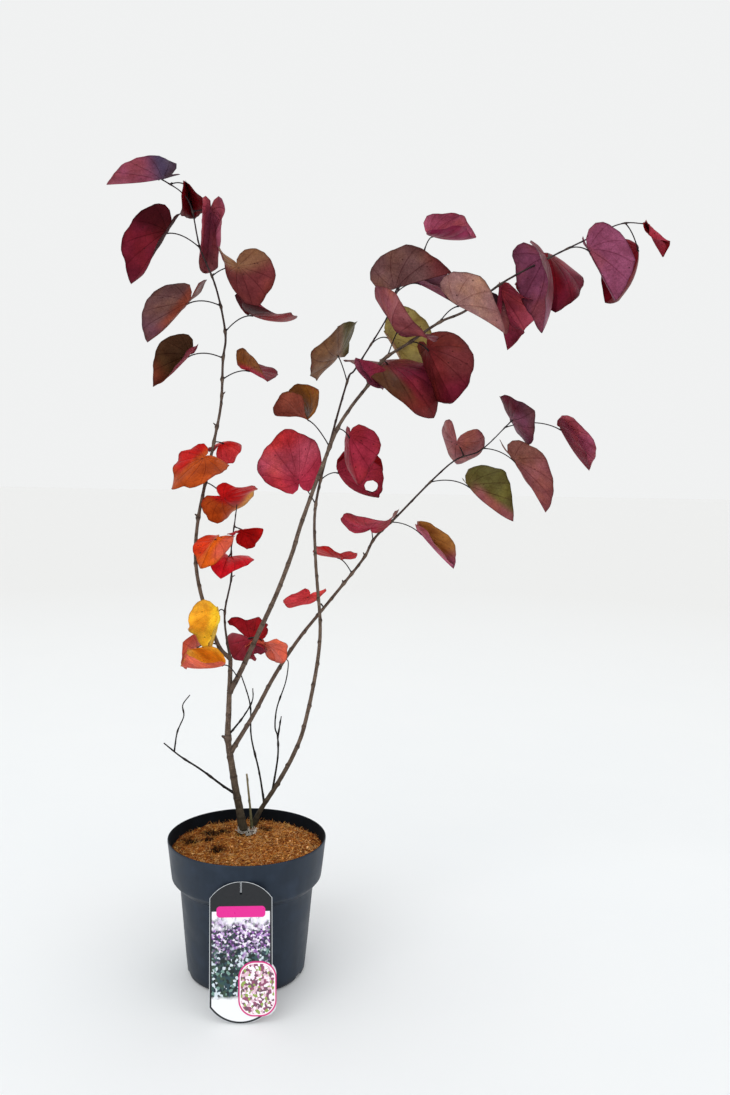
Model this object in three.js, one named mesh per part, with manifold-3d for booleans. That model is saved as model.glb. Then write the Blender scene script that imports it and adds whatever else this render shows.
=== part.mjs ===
// A young redbud with two stems, in autumn leaf, in a round nursery pot with a hang tag.
// Millimetres, +Z up. +X is to the right of the plant's front and +Y to its back.
// The origin is the centre of the pot's flat underside.
import * as THREE from "three";
import { mergeVertices } from "three/addons/utils/BufferGeometryUtils.js";
import Module from "manifold-3d";

const wasm = await Module();
wasm.setup();

// Driving dimensions
const seatGap = 0.3; // between pieces that touch
const pot = {
  height: 206,
  rimRadius: 117.7,
  bandFoot: 147, // height at which the broad band under the rim ends
  bandRadius: 111.5,
  bodyTop: 134,
  bodyRadius: 99,
  footRadius: 89,
  undersideRadius: 84,
  wall: 2.4,
  floor: 3,
  sides: 36,
};
const drain = { count: 8, width: 24, height: 7, depth: 9 }; // notches round the foot of the pot
const soil = { edge: 187, crown: 192, crownRadius: 96 };
const tag = {
  width: 87,
  height: 189,
  thickness: 0.9,
  shoulder: 22, // how far the round top and bottom stand beyond the straight sides
  foot: [10, -161, 0], // where it stands on the floor
  top: [4, -115.5, 183], // where it leans on the band
  hole: 1.6, // radius
  holeDrop: 16,
  slit: 1.2,
  patch: { width: 52, height: 72, x: 23, y: 46, thickness: 0.8 }, // the small card on its front
};
const limbSides = 6;
const twigSides = 4;
const limbStep = 26; // length of a limb between two rings
const stalk = { diameter: 1.9, sides: 3, sag: 0.2, sink: 5 };
const rootFlare = { width: 3.4, height: 11 }; // extra diameter at the soil, and how fast it fades

// A heart-shaped blade in units of the length from its stalk to its tip: the distance of
// the edge from the stalk, by the angle from the tip. Both halves are alike.
const bladeEdge = [
  [0, 1],
  [14, 0.84],
  [40, 0.755],
  [75, 0.63],
  [112, 0.52],
  [150, 0.38],
  [180, 0.03],
];
const bladeHalf = 0.61; // the widest reach of one half
const bladeThickness = 1.3;
const bladeApart = 0.8; // a half that is folded right over stays this far from the other

// The limbs: the points that each one passes through, and its diameter at its foot and its tip.
// A bough or shoot starts on the axis of the limb that it grows from. A nub is a stub of a
// lost side shoot: how far along the limb it is, and where it points.
const limbs = {
  trunk: {
    path: [
      [-13, 60, 192.3], [-18, 59, 223], [-26, 56, 268], [-35, 49, 335], [-34, 44, 385],
      [-32, 41, 430], [-31, 40, 465],
    ],
    foot: 12.6,
    tip: 6.3,
    grounded: true,
    nubs: [{ at: 0.54, out: [-9, -2, 5] }],
  },
  leader: {
    path: [
      [-31, 40, 465], [-49, 34, 488], [-71, 20, 560], [-79, 10, 618], [-74, 2, 680],
      [-51, -10, 786], [-40, -13, 843], [-37, -14, 906], [-34, -13, 944], [-49, -4, 1009],
      [-73, 8, 1064], [-86, 15, 1119], [-101, 17, 1142], [-130, 18, 1160],
    ],
    foot: 6.3,
    tip: 1.5,
    nubs: [
      { at: 0.31, out: [-5, -1, 4] },
      { at: 0.49, out: [-5, -1, 5] },
      { at: 0.55, out: [5, -1, 5] },
    ],
  },
  inner: {
    path: [
      [-31, 40, 465], [-36, 34, 495], [-38, 24, 539], [-27, 12, 592], [-26, 2, 637],
      [-20, -8, 676], [-16, -16, 702],
    ],
    foot: 3.6,
    tip: 1.5,
    nubs: [{ at: 0.54, out: [5, 0, 3] }],
  },
  rightBough: {
    path: [
      [-32, 42, 414], [-15, 34, 448], [38, 10, 566], [61, 4, 627], [78, 0, 683],
      [120, -3, 799], [143, -6, 841], [170, -12, 877], [188, -16, 909], [226, -22, 935],
      [267, -28, 963], [304, -32, 980], [358, -38, 1021], [468, -38, 1079],
      [513, -34, 1100], [547, -32, 1101],
    ],
    foot: 7.8,
    tip: 1.5,
    nubs: [{ at: 0.53, out: [-3, -2, 6] }],
  },
  backBough: {
    path: [
      [-31, 50, 318], [3, 72, 375], [32, 92, 430], [69, 112, 486], [133, 138, 565],
      [167, 150, 609], [183, 157, 639], [214, 166, 670], [303, 190, 759],
      [353, 198, 782], [401, 204, 829],
    ],
    foot: 7,
    tip: 1.6,
    nubs: [
      { at: 0.45, out: [-2, -2, 6] },
      { at: 0.53, out: [-3, -2, 6] },
    ],
  },
  secondStem: {
    path: [
      [1, 78, 192.3], [12, 77, 217], [41, 75, 265], [64, 73, 311], [82, 71, 365],
      [102, 66, 491], [94, 62, 615], [93, 60, 695], [111, 57, 781], [138, 60, 883],
      [150, 60, 902], [192, 54, 971], [206, 56, 1008], [222, 60, 1037], [248, 68, 1076],
    ],
    foot: 7.4,
    tip: 1.4,
    grounded: true,
    nubs: [],
  },
};

// Dead shoots and a cut stub, in the same terms
const deadLimbs = {
  left: {
    path: [[-25, 57, 250], [-45, 52, 265], [-77, 42, 293], [-106, 34, 315], [-130, 30, 336]],
    foot: 3.8,
    tip: 2,
  },
  leftTwig: {
    path: [[-115, 34, 322], [-110, 32, 353], [-100, 30, 378], [-101, 28, 396], [-90, 26, 412]],
    foot: 2.2,
    tip: 1.5,
  },
  middle: {
    path: [[-34, 48, 346], [-12, 42, 375], [2, 40, 401], [3, 38, 421]],
    foot: 3,
    tip: 1.5,
  },
  back: {
    path: [[18, 77, 228], [9, 82, 279], [-4, 88, 331], [-6, 84, 385], [-20, 66, 441]],
    foot: 3.2,
    tip: 1.7,
  },
  right: {
    path: [
      [31, 76, 250], [39, 70, 304], [39, 66, 338], [35, 63, 355], [38, 60, 386],
      [51, 56, 427], [55, 54, 457], [51, 53, 464],
    ],
    foot: 3.2,
    tip: 1.5,
  },
  rightTwig: {
    path: [[39, 66, 336], [41, 68, 350], [44, 70, 370]],
    foot: 2.3,
    tip: 1.5,
  },
  stub: {
    path: [[0, 66, 192.3], [-3, 64, 230], [-8, 62, 280]],
    foot: 3.8,
    tip: 2.8,
    grounded: true,
  },
};

// The leaves of each spray. A leaf leaves its limb at a fraction of the limb's length. Its
// stalk ends that many millimetres from there, and its blade reaches on from there to its tip.
// Angles are degrees: the blade is turned about its midrib from facing the front, its two
// halves are folded up along the midrib, and it curls across, bows along and twists.
const leftMiddleLeaves = [
  {
    at: 0.38, stalk: [30, -31, -21], blade: [34, 56, 4],
    turn: -60, folds: [-20, -10], curl: 55, bow: 60,
  },
  {
    at: 0.42, stalk: [-5, -22, 7], blade: [-46, -17, -45],
    turn: -10, folds: [25, -25], curl: -15, bow: 60, twist: 35,
  },
  {
    at: 0.46, stalk: [8, 16, -4], blade: [26, 44, -1],
    turn: 60, folds: [-20, -20], curl: -75, bow: 50,
  },
];
const leftTopLeaves = [
  {
    at: 0.58, stalk: [34, 19, 14], blade: [33, -47, -18],
    turn: 100, folds: [45, 25], curl: 5, bow: 10, twist: -10,
  },
  {
    at: 0.62, stalk: [-51, 19, 5], blade: [-51, -14, -50],
    turn: -25, folds: [50, 50], curl: 25, bow: -25,
  },
  {
    at: 0.67, stalk: [38, -27, 22], blade: [65, 47, -1],
    turn: -95, folds: [-5, -35], curl: -10, bow: 40, twist: -15,
  },
  {
    at: 0.72, stalk: [-42, -24, 2], blade: [-50, -44, -62],
    turn: -75, folds: [5, 50], curl: -5, bow: -15,
  },
  {
    at: 0.78, stalk: [39, -19, 12], blade: [26, -33, -65],
    turn: 40, folds: [5, 0], curl: 65, bow: 15,
  },
  { at: 0.84, stalk: [-43, -23, 19], blade: [-49, -6, -79], turn: -50, folds: [15, 20], curl: 25 },
  {
    at: 0.91, stalk: [25, 7, 4], blade: [-14, 34, -87],
    turn: 0, folds: [25, 55], curl: 85, bow: -25,
  },
  {
    at: 0.98, stalk: [21, 12, 4], blade: [6, 52, -40],
    turn: 5, folds: [80, 85], curl: -35, bow: -25, twist: 10,
  },
  {
    at: 1, stalk: [4, -13, -3], blade: [-79, -9, -9],
    turn: 100, folds: [-10, -40], curl: 5, bow: 15,
  },
];
const leftLowLeaves = [
  {
    at: 0.04, stalk: [-39, 37, -16], blade: [-14, -47, 21],
    turn: -30, folds: [5, 5], curl: -10, bow: 45, twist: 10,
  },
];
const innerLeaves = [
  {
    at: 0.31, stalk: [-5, -39, 8], blade: [-25, 26, -64],
    turn: -35, folds: [25, 45], curl: 45, bow: -35,
  },
  {
    at: 0.69, stalk: [-4, 6, -6], blade: [-5, -54, -27],
    turn: -5, folds: [20, 35], curl: -30, bow: 60,
  },
  {
    at: 0.76, stalk: [-18, -30, 9], blade: [-17, -27, -43],
    turn: -30, folds: [-25, -40], curl: 65, bow: 50,
  },
  {
    at: 0.86, stalk: [9, 5, -7], blade: [35, -30, 5],
    turn: -50, folds: [25, 30], curl: 35, bow: -35,
  },
];
const lowLeaves = [
  {
    at: 0.03, stalk: [-15, -54, 29], blade: [-74, 50, -13],
    turn: -40, folds: [50, 50], curl: 70, bow: -50, twist: 10,
  },
];
const forkLeaves = [
  {
    at: 0.1, stalk: [-11, 27, -7], blade: [-35, 46, 21],
    turn: -145, folds: [70, 65], curl: -20, bow: -15, twist: 10,
  },
  {
    at: 0.1, stalk: [-10, 17, -5], blade: [-36, 58, -2],
    turn: -65, folds: [-40, -40], curl: -70, bow: 40, twist: 30,
  },
  {
    at: 0.1, stalk: [11, 17, -9], blade: [16, 37, -37],
    turn: -60, folds: [-15, 45], curl: -40, bow: -30, twist: 30,
  },
];
const rightMiddleLeaves = [
  {
    at: 0.42, stalk: [-31, -17, 38], blade: [-13, 81, 21],
    turn: -15, folds: [55, 55], curl: 25, bow: -35, twist: -85,
  },
  {
    at: 0.45, stalk: [17, 14, -9], blade: [17, -1, -73],
    turn: -25, folds: [-35, -40], curl: -25, bow: 60,
  },
  {
    at: 0.55, stalk: [9, -22, 7], blade: [-36, -50, 6],
    turn: 60, folds: [50, 75], curl: 60, bow: -20,
  },
  {
    at: 0.57, stalk: [5, 19, -3], blade: [70, -28, -80],
    turn: 30, folds: [-20, 30], curl: -5, bow: 75,
  },
  {
    at: 0.58, stalk: [14, -13, 31], blade: [-1, -92, 37],
    turn: -120, folds: [45, 0], bow: -50, twist: -25,
  },
  {
    at: 0.62, stalk: [24, 3, -9], blade: [36, -49, -79],
    turn: -25, folds: [-35, -40], curl: -25, bow: 15,
  },
];
const rightTipLeaves = [
  {
    at: 0.67, stalk: [22, -2, 24], blade: [70, -34, -43],
    turn: 105, folds: [55, 25], curl: 20, bow: 10, twist: 10,
  },
  {
    at: 0.77, stalk: [6, 38, 1], blade: [20, 52, -87],
    turn: 10, folds: [55, 80], curl: -15, bow: -50, twist: -60,
  },
  {
    at: 0.84, stalk: [1, -19, 4], blade: [-6, -2, -105],
    turn: 105, folds: [-30, -40], curl: 20, bow: 70,
  },
  {
    at: 0.85, stalk: [6, 45, 10], blade: [7, -39, -87],
    turn: 15, folds: [-15, -40], curl: -20, bow: 65,
  },
  { at: 0.88, stalk: [26, -12, -2], blade: [35, -32, -75], turn: 130, folds: [45, 40], curl: 30 },
  {
    at: 0.97, stalk: [27, 30, -30], blade: [-51, -19, -79],
    turn: 35, folds: [-20, -35], curl: -70, bow: 75,
  },
  {
    at: 1, stalk: [0, 2, -1], blade: [33, 25, -42],
    turn: -15, folds: [45, 85], curl: 105, bow: -50, twist: -55,
  },
];
const backSideLeaves = [
  {
    at: 0.38, stalk: [-23, -18, 20], blade: [-27, -51, -9],
    turn: 95, folds: [-5, 0], curl: -15, bow: 25,
  },
];
const backLowLeaves = [
  { at: 0.48, stalk: [-19, -24, 27], blade: [-40, 44, -1], turn: 60, folds: [-25, 10], curl: -35 },
  {
    at: 0.57, stalk: [-4, -22, 21], blade: [19, 83, 7],
    turn: -80, folds: [25, -20], curl: -60, bow: -15,
  },
  {
    at: 0.63, stalk: [46, -15, -15], blade: [58, 23, -62],
    turn: 30, folds: [85, 70], bow: -15,
  },
];
const backTipLeaves = [
  {
    at: 0.76, stalk: [59, -22, -3], blade: [72, -33, -56],
    turn: -40, folds: [-40, -40], curl: -45, bow: 40, twist: 20,
  },
  {
    at: 0.86, stalk: [-13, -16, 23], blade: [7, 74, -39],
    turn: -30, folds: [-15, -20], curl: -55, bow: 40,
  },
  {
    at: 0.91, stalk: [48, -18, -18], blade: [57, 12, -87],
    turn: 120, folds: [30, 0], curl: 10, bow: 10,
  },
  {
    at: 0.98, stalk: [87, -11, 1], blade: [57, 29, -72],
    turn: 25, folds: [80, 65], curl: 15, bow: -25,
  },
  {
    at: 1, stalk: [1, -4, 2], blade: [27, -65, 15],
    turn: -15, folds: [-10, 15], curl: -10, bow: 45,
  },
];
const secondLowLeaves = [
  {
    at: 0.56, stalk: [-27, 10, 33], blade: [-26, 44, 82],
    turn: -175, folds: [-35, -40], curl: 5, bow: 25, twist: -15,
  },
  {
    at: 0.6, stalk: [25, 16, 13], blade: [64, 71, -44],
    turn: 75, folds: [80, 50], curl: 35, bow: -50, twist: 25,
    hole: { from: [51, 26, -23], radius: 10.5 },
  },
];
const secondTopLeaves = [
  {
    at: 0.76, stalk: [-15, 10, 37], blade: [0, -74, 43],
    turn: -15, folds: [30, -40], curl: -10, bow: 30,
  },
  {
    at: 0.83, stalk: [24, 30, 14], blade: [57, 69, -43],
    turn: 50, folds: [60, 20], curl: 10, bow: -15, twist: 30,
  },
  {
    at: 0.91, stalk: [1, 4, 14], blade: [85, -22, 21],
    turn: 125, folds: [45, 45], curl: 10, bow: 10, twist: 10,
  },
  { at: 0.92, stalk: [32, 36, 18], blade: [65, 23, -32], turn: 60, folds: [35, 35], bow: 10 },
  {
    at: 1, stalk: [10, 22, 24], blade: [74, 37, 7],
    turn: -155, folds: [-40, -40], curl: -75, bow: 40,
  },
];

const radians = THREE.MathUtils.degToRad;

function vector(point) {
  return new THREE.Vector3(...point);
}

// A closed surface over rings of points that all have the same count, with a single point
// before the first ring and one after the last. From the ring numbered "turned" on, its
// quads are split the other way, so that both faces of a thin shell bend alike.
function skin(first, rings, last, turned = rings.length) {
  const count = rings[0].length;
  const points = [first, ...rings.flat(), last];
  const end = points.length - 1;
  const faces = [];
  for (let j = 0; j < count; j++) {
    const k = (j + 1) % count;
    faces.push([0, 1 + k, 1 + j]);
    for (let i = 0; i < rings.length - 1; i++) {
      const ring = 1 + i * count;
      const [a, b, c, d] = [ring + j, ring + k, ring + count + k, ring + count + j];
      faces.push(...(i < turned ? [[a, b, c], [a, c, d]] : [[a, b, d], [b, c, d]]));
    }
    faces.push([end, end - count + j, end - count + k]);
  }
  const volume = faces.reduce((sum, [a, b, c]) => {
    const across = points[b].clone().cross(points[c]);
    return sum + points[a].dot(across);
  }, 0);
  const index = faces.flatMap(([a, b, c]) => (volume > 0 ? [a, b, c] : [a, c, b]));
  const geometry = new THREE.BufferGeometry();
  geometry.setFromPoints(points);
  geometry.setIndex(index);
  return geometry;
}

function solidOf(geometry) {
  const bare = geometry.clone();
  bare.deleteAttribute("normal");
  bare.deleteAttribute("uv");
  const merged = mergeVertices(bare, 1e-4);
  const vertProperties = new Float32Array(merged.attributes.position.array);
  const triVerts = new Uint32Array(merged.index.array);
  return new wasm.Manifold(new wasm.Mesh({ numProp: 3, vertProperties, triVerts }));
}

function geometryOf(solid) {
  const mesh = solid.getMesh();
  const geometry = new THREE.BufferGeometry();
  geometry.setAttribute("position", new THREE.BufferAttribute(mesh.vertProperties, 3));
  geometry.setIndex(new THREE.BufferAttribute(mesh.triVerts, 1));
  geometry.computeVertexNormals();
  return geometry;
}

// The largest body of a solid, without the slivers that a cut can leave
function whole(solid) {
  return solid.decompose().reduce((most, body) => (body.volume() > most.volume() ? body : most));
}

function joined(solids) {
  return solids.reduce((sum, solid) => sum.add(solid));
}

function curveOf(path) {
  return new THREE.CatmullRomCurve3(path.map(vector), false, "catmullrom", 0.5);
}

// A round bar along a curve between two fractions of its length. Its cross-section is carried
// along without turning. "extra" makes it thicker and longer all round.
function bar({ curve, stations, radiusAt, sides, extra = 0, ground }) {
  const side = new THREE.Vector3(0, 1, 0);
  const rings = stations.map((at) => {
    const centre = curve.getPointAt(at);
    const along = curve.getTangentAt(at);
    side.addScaledVector(along, -side.dot(along)).normalize();
    const other = along.clone().cross(side);
    if (at === stations[0]) centre.addScaledVector(along, -extra);
    if (at === stations[stations.length - 1]) centre.addScaledVector(along, extra);
    const radius = radiusAt(at) + extra;
    const ring = [];
    for (let i = 0; i < sides; i++) {
      const angle = (2 * Math.PI * i) / sides;
      const point = centre.clone();
      point.addScaledVector(side, radius * Math.cos(angle));
      point.addScaledVector(other, radius * Math.sin(angle));
      ring.push(point);
    }
    return { centre, ring };
  });
  const first = rings[0];
  if (ground !== undefined) {
    first.ring.forEach((point) => (point.z = ground - extra));
    first.centre.z = ground - extra;
  }
  const last = rings[rings.length - 1];
  return solidOf(skin(first.centre, rings.map(({ ring }) => ring), last.centre));
}

// Where the rings of a limb stand: evenly, and closer where it flares at the soil
function stationsOf(length, from, to, grounded) {
  const steps = Math.max(1, Math.ceil(((to - from) * length) / limbStep));
  const even = Array.from({ length: steps + 1 }, (_, i) => from + ((to - from) * i) / steps);
  const flared = [5, 12, 22].map((distance) => distance / length);
  return grounded && from === 0 ? [0, ...flared, ...even.slice(1)] : even;
}

// One limb between two fractions of its length, with the nubs that stand on that stretch
function limbSolid(limb, from = 0, to = 1, extra = 0, sides = limbSides) {
  const curve = curveOf(limb.path);
  const length = curve.getLength();
  const flare = limb.grounded && limb.foot > 5 ? rootFlare.width : 0;
  const radiusAt = (at) => {
    const taper = THREE.MathUtils.lerp(limb.foot, limb.tip, at);
    return (taper + flare * Math.exp((-at * length) / rootFlare.height)) / 2;
  };
  const stations = stationsOf(length, from, to, limb.grounded);
  const ground = limb.grounded && from === 0 ? limb.path[0][2] : undefined;
  const stem = bar({ curve, stations, radiusAt, sides, extra, ground });
  const nubs = (limb.nubs ?? []).filter(({ at }) => at > from && at < to);
  return joined([stem, ...nubs.map((nub) => nubSolid(curve, nub, radiusAt(nub.at)))]);
}

// A stub of four faces that ends in a blunt point
function nubSolid(curve, nub, radius) {
  const root = curve.getPointAt(nub.at);
  const out = vector(nub.out);
  const tip = root.clone().add(out);
  const along = out.clone().normalize();
  const side = new THREE.Vector3(0, 1, 0).cross(along).normalize();
  const other = along.clone().cross(side);
  const around = [side, other, side.clone().negate(), other.clone().negate()];
  const ring = (centre, size) => around.map((way) => centre.clone().addScaledVector(way, size));
  const neck = root.clone().addScaledVector(out, 0.7);
  return solidOf(skin(root, [ring(root, radius * 0.8), ring(neck, radius * 0.55)], tip));
}

// The distance of a blade's edge from its stalk, by the angle from its tip
function edgeAt(angle) {
  const near = bladeEdge.findIndex(([turn]) => turn >= angle - 1e-6);
  return bladeEdge[near][1];
}

// A point of a blade. "reach" runs from 0 at the stalk to 1 at the edge, and "face" is 1 on
// the upper face and -1 on the lower. The blade is first folded and curled, then twisted
// about its midrib, then bowed along it.
function bladePoint(leaf, length, angle, reach, face) {
  const away = edgeAt(Math.abs(angle)) * reach * length;
  const along = away * Math.cos(radians(angle));
  const sideways = Math.abs(angle) % 180 === 0 ? 0 : away * Math.sin(radians(angle));
  const half = Math.sign(sideways);
  const fold = radians(leaf.folds[half > 0 ? 0 : 1]);
  const curl = radians(leaf.curl ?? 0) / (bladeHalf * length) + 1e-7;
  const slope = half === 0 ? 0 : fold + curl * Math.abs(sideways);
  const thick = (face * bladeThickness * (1 - reach ** 4)) / 2;
  const flat = half === 0 ? 0 : (Math.sin(slope) - Math.sin(fold)) / curl;
  const raised = half === 0 ? 0 : (Math.cos(fold) - Math.cos(slope)) / curl;
  const across = half * (Math.max(flat, bladeApart) - thick * Math.sin(slope));
  const rise = raised + thick * Math.cos(slope);
  const twist = (radians(leaf.twist ?? 0) * along) / length;
  const y = across * Math.cos(twist) - rise * Math.sin(twist);
  const z = across * Math.sin(twist) + rise * Math.cos(twist);
  const bow = radians(leaf.bow ?? 0) || 1e-6;
  const bent = (bow * along) / length;
  const x = (length * Math.sin(bent)) / bow + z * Math.sin(bent);
  const drop = (length * (Math.cos(bent) - 1)) / bow + z * Math.cos(bent);
  const lift = bow / 2;
  return new THREE.Vector3(
    x * Math.cos(lift) - drop * Math.sin(lift),
    y,
    x * Math.sin(lift) + drop * Math.cos(lift),
  );
}

// The axes of a blade: along the midrib, across, and out of its upper face
function bladeAxes(leaf) {
  const along = vector(leaf.blade).normalize();
  const front = new THREE.Vector3(0, -1, 0);
  front.addScaledVector(along, -front.dot(along)).normalize();
  const up = front.applyAxisAngle(along, -radians(leaf.turn));
  const across = up.clone().cross(along);
  return new THREE.Matrix4().makeBasis(along, across, up);
}

// One leaf: a thin stalk from the twig, sunk into the blade's midrib, and the blade
function leafSolid(leaf, root, base) {
  const bow = radians(leaf.bow ?? 0) || 1e-6;
  const length = (vector(leaf.blade).length() * (bow / 2)) / Math.sin(bow / 2);
  const place = bladeAxes(leaf).setPosition(base);
  const angles = bladeEdge.map(([angle]) => angle);
  const around = [...angles, ...angles.slice(1, -1).reverse().map((angle) => -angle)];
  const bent = Math.abs(leaf.curl ?? 0) > 40 || Math.abs(leaf.bow ?? 0) > 45;
  const reaches = bent ? [0.36, 0.7] : [0.55];
  const ring = (reach, face) =>
    around.map((angle) => bladePoint(leaf, length, angle, reach, face).applyMatrix4(place));
  const rings = [
    ...reaches.map((reach) => ring(reach, 1)),
    ring(1, 1),
    ...reaches.toReversed().map((reach) => ring(reach, -1)),
  ];
  const pole = (face) => new THREE.Vector3(0, 0, (face * bladeThickness) / 2).applyMatrix4(place);
  let blade = solidOf(skin(pole(1), rings, pole(-1), reaches.length));
  if (leaf.hole) blade = blade.subtract(drillSolid(leaf.hole, base));
  const rib = bladePoint(leaf, length, 0, reaches[0], 0);
  const sunk = rib.setLength(stalk.sink).applyMatrix4(place);
  const raised = root.clone().lerp(base, 0.6);
  raised.z += stalk.sag * root.distanceTo(base);
  const stem = bar({
    curve: new THREE.QuadraticBezierCurve3(root, raised, sunk),
    stations: [0, 0.5, 1],
    radiusAt: () => stalk.diameter / 2,
    sides: stalk.sides,
  });
  return whole(joined([stem, blade]));
}

// A round hole that is seen from the front
function drillSolid({ from, radius }, base) {
  const centre = base.clone().add(vector(from));
  const drill = new THREE.CylinderGeometry(radius, radius, 160, 8);
  return solidOf(drill.translate(centre.x, centre.y, centre.z));
}

// A spray of leaves. Its twig is the limb's stretch from one fraction to another, or a short
// spur on the limb's side.
function spraySolid(limb, leaves, { from, to, spur }) {
  const curve = curveOf(limb.path);
  const gap = seatGap / curve.getLength();
  const twigs = spur ? [] : [limbSolid(limb, from + gap, to, 0, twigSides)];
  const solids = leaves.map((leaf) => {
    const start = curve.getPointAt(leaf.at);
    const base = start.clone().add(vector(leaf.stalk));
    const root = spur ? start.clone().add(vector(spur)) : start;
    if (spur) twigs.push(spurSolid(start, root));
    return leafSolid(leaf, root, base);
  });
  return joined([...twigs, ...solids]);
}

function spurSolid(start, end) {
  const curve = new THREE.LineCurve3(start, end.clone().lerp(start, -0.1));
  return bar({ curve, stations: [0, 1], radiusAt: () => 1.6, sides: twigSides });
}

// A flat card, round at its foot and top, with a keyhole slit at the top. It leans back
// against the pot with a smaller card fixed on its front.
function tagSolid() {
  const half = tag.width / 2;
  const round = (half ** 2 + tag.shoulder ** 2) / (2 * tag.shoulder);
  const reach = Math.asin(half / round);
  const outline = new THREE.Shape();
  outline.absarc(0, round, round, 1.5 * Math.PI - reach, 1.5 * Math.PI + reach, false);
  outline.absarc(0, tag.height - round, round, 0.5 * Math.PI - reach, 0.5 * Math.PI + reach, false);
  const card = new THREE.ExtrudeGeometry(outline, {
    depth: tag.thickness,
    bevelEnabled: false,
    curveSegments: 6,
  });
  const holeAt = tag.height - tag.holeDrop;
  const hole = new THREE.CylinderGeometry(tag.hole, tag.hole, 4, 8);
  hole.rotateX(Math.PI / 2).translate(0, holeAt, 0);
  const slit = new THREE.BoxGeometry(tag.slit, tag.holeDrop + 4, 4);
  slit.translate(0, holeAt + (tag.holeDrop + 4) / 2, 0);
  const { width, height, x, y, thickness } = tag.patch;
  const corner = width * 0.3;
  const patch = new THREE.Shape();
  patch.absarc(width / 2 - corner, corner - height / 2, corner, -Math.PI / 2, 0, false);
  patch.absarc(width / 2 - corner, height / 2 - corner, corner, 0, Math.PI / 2, false);
  patch.absarc(corner - width / 2, height / 2 - corner, corner, Math.PI / 2, Math.PI, false);
  patch.absarc(corner - width / 2, corner - height / 2, corner, Math.PI, 1.5 * Math.PI, false);
  const small = new THREE.ExtrudeGeometry(patch, {
    depth: thickness + 0.2,
    bevelEnabled: false,
    curveSegments: 3,
  });
  small.translate(x, y, tag.thickness - 0.2);
  const up = vector(tag.top).sub(vector(tag.foot)).normalize();
  const right = new THREE.Vector3(1, 0, 0);
  right.addScaledVector(up, -right.dot(up)).normalize();
  const out = right.clone().cross(up);
  const lean = new THREE.Matrix4().makeBasis(right, up, out).setPosition(vector(tag.foot));
  const flat = joined([solidOf(card), solidOf(small)]);
  const cut = joined([solidOf(hole), solidOf(slit)]);
  return solidOf(geometryOf(flat.subtract(cut)).applyMatrix4(lean));
}

// The pot's outer profile from its foot to its rim, as radius and height
const potOutside = [
  [pot.undersideRadius, 0],
  [pot.footRadius - 0.5, 5],
  [pot.bodyRadius, pot.bodyTop],
  [pot.bodyRadius + 4.5, pot.bodyTop + 3.5],
  [pot.bandRadius, pot.bandFoot],
  [pot.rimRadius - 0.5, pot.height - 3],
  [pot.rimRadius, pot.height],
];

function turned(profile) {
  const points = profile.map(([radius, height]) => new THREE.Vector2(radius, height));
  return solidOf(new THREE.LatheGeometry(points, pot.sides).rotateX(Math.PI / 2));
}

function potSolid() {
  const inside = potOutside
    .slice(1)
    .toReversed()
    .map(([radius, height]) => [radius - pot.wall, height]);
  const floor = [pot.undersideRadius - pot.wall, pot.floor];
  const shell = turned([[0, 0], ...potOutside, ...inside, floor, [0, pot.floor]]);
  const arch = new THREE.Shape();
  arch.moveTo(-drain.width / 2, -1);
  arch.lineTo(drain.width / 2, -1);
  arch.absellipse(0, 1, drain.width / 2, drain.height - 1, 0, Math.PI, false);
  const depth = drain.depth + 4;
  const notches = Array.from({ length: drain.count }, (_, i) => {
    const notch = new THREE.ExtrudeGeometry(arch, { depth, bevelEnabled: false, curveSegments: 4 });
    notch.rotateX(Math.PI / 2).translate(0, pot.footRadius + 4, 0);
    return solidOf(notch.rotateZ((2 * Math.PI * (i + 0.5)) / drain.count));
  });
  return shell.subtract(joined(notches));
}

// Soil that fills the pot, flat round the stems and lower where it meets the wall
function soilSolid() {
  const clear = pot.wall + seatGap;
  const [bandFoot, rimFoot] = potOutside.slice(4, 6);
  const share = (soil.edge - bandFoot[1]) / (rimFoot[1] - bandFoot[1]);
  const edge = THREE.MathUtils.lerp(bandFoot[0], rimFoot[0], share);
  const wall = potOutside
    .slice(1, 5)
    .map(([radius, height]) => [radius - clear, height + seatGap]);
  const base = pot.floor + seatGap;
  return turned([
    [0, base],
    [pot.undersideRadius - clear, base],
    ...wall,
    [edge - clear, soil.edge],
    [soil.crownRadius, soil.crown],
    [0, soil.crown],
  ]);
}

const bark = new THREE.MeshStandardMaterial({ color: 0x6b5e52, roughness: 0.85 });
const deadWood = new THREE.MeshStandardMaterial({ color: 0x8a7460, roughness: 0.9 });
const potPlastic = new THREE.MeshStandardMaterial({ color: 0x2a2f35, roughness: 0.6 });
const coir = new THREE.MeshStandardMaterial({ color: 0xa5693a, roughness: 1 });
const card = new THREE.MeshStandardMaterial({ color: 0x1d1b20, roughness: 0.45 });
const foliage = (color) => new THREE.MeshStandardMaterial({ color, roughness: 0.55 });

// Where each bough ends and its first spray begins, as a fraction of its length
const leaderEnd = 0.36;
const leaderTop = 0.565;
const rightEnd = 0.41;
const rightTip = 0.66;
const backEnd = 0.47;
const backTip = 0.745;
const secondEnd = 0.55;
const secondTop = 0.74;

const trunkFat = limbSolid(limbs.trunk, 0, 1, seatGap * 1.2);
const leaderFat = limbSolid(limbs.leader, 0, leaderEnd, seatGap * 1.2);
const rightFat = limbSolid(limbs.rightBough, 0, rightEnd, seatGap * 1.2);
const backFat = limbSolid(limbs.backBough, 0, backEnd, seatGap * 1.2);
const secondFat = limbSolid(limbs.secondStem, 0, secondEnd, seatGap * 1.2);

function deadSolid(name, twig) {
  const limb = limbSolid(deadLimbs[name], 0, 1, 0, twigSides);
  return twig ? joined([limb, limbSolid(deadLimbs[twig], 0, 1, 0, twigSides)]) : limb;
}

const tree = new THREE.Group();

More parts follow.
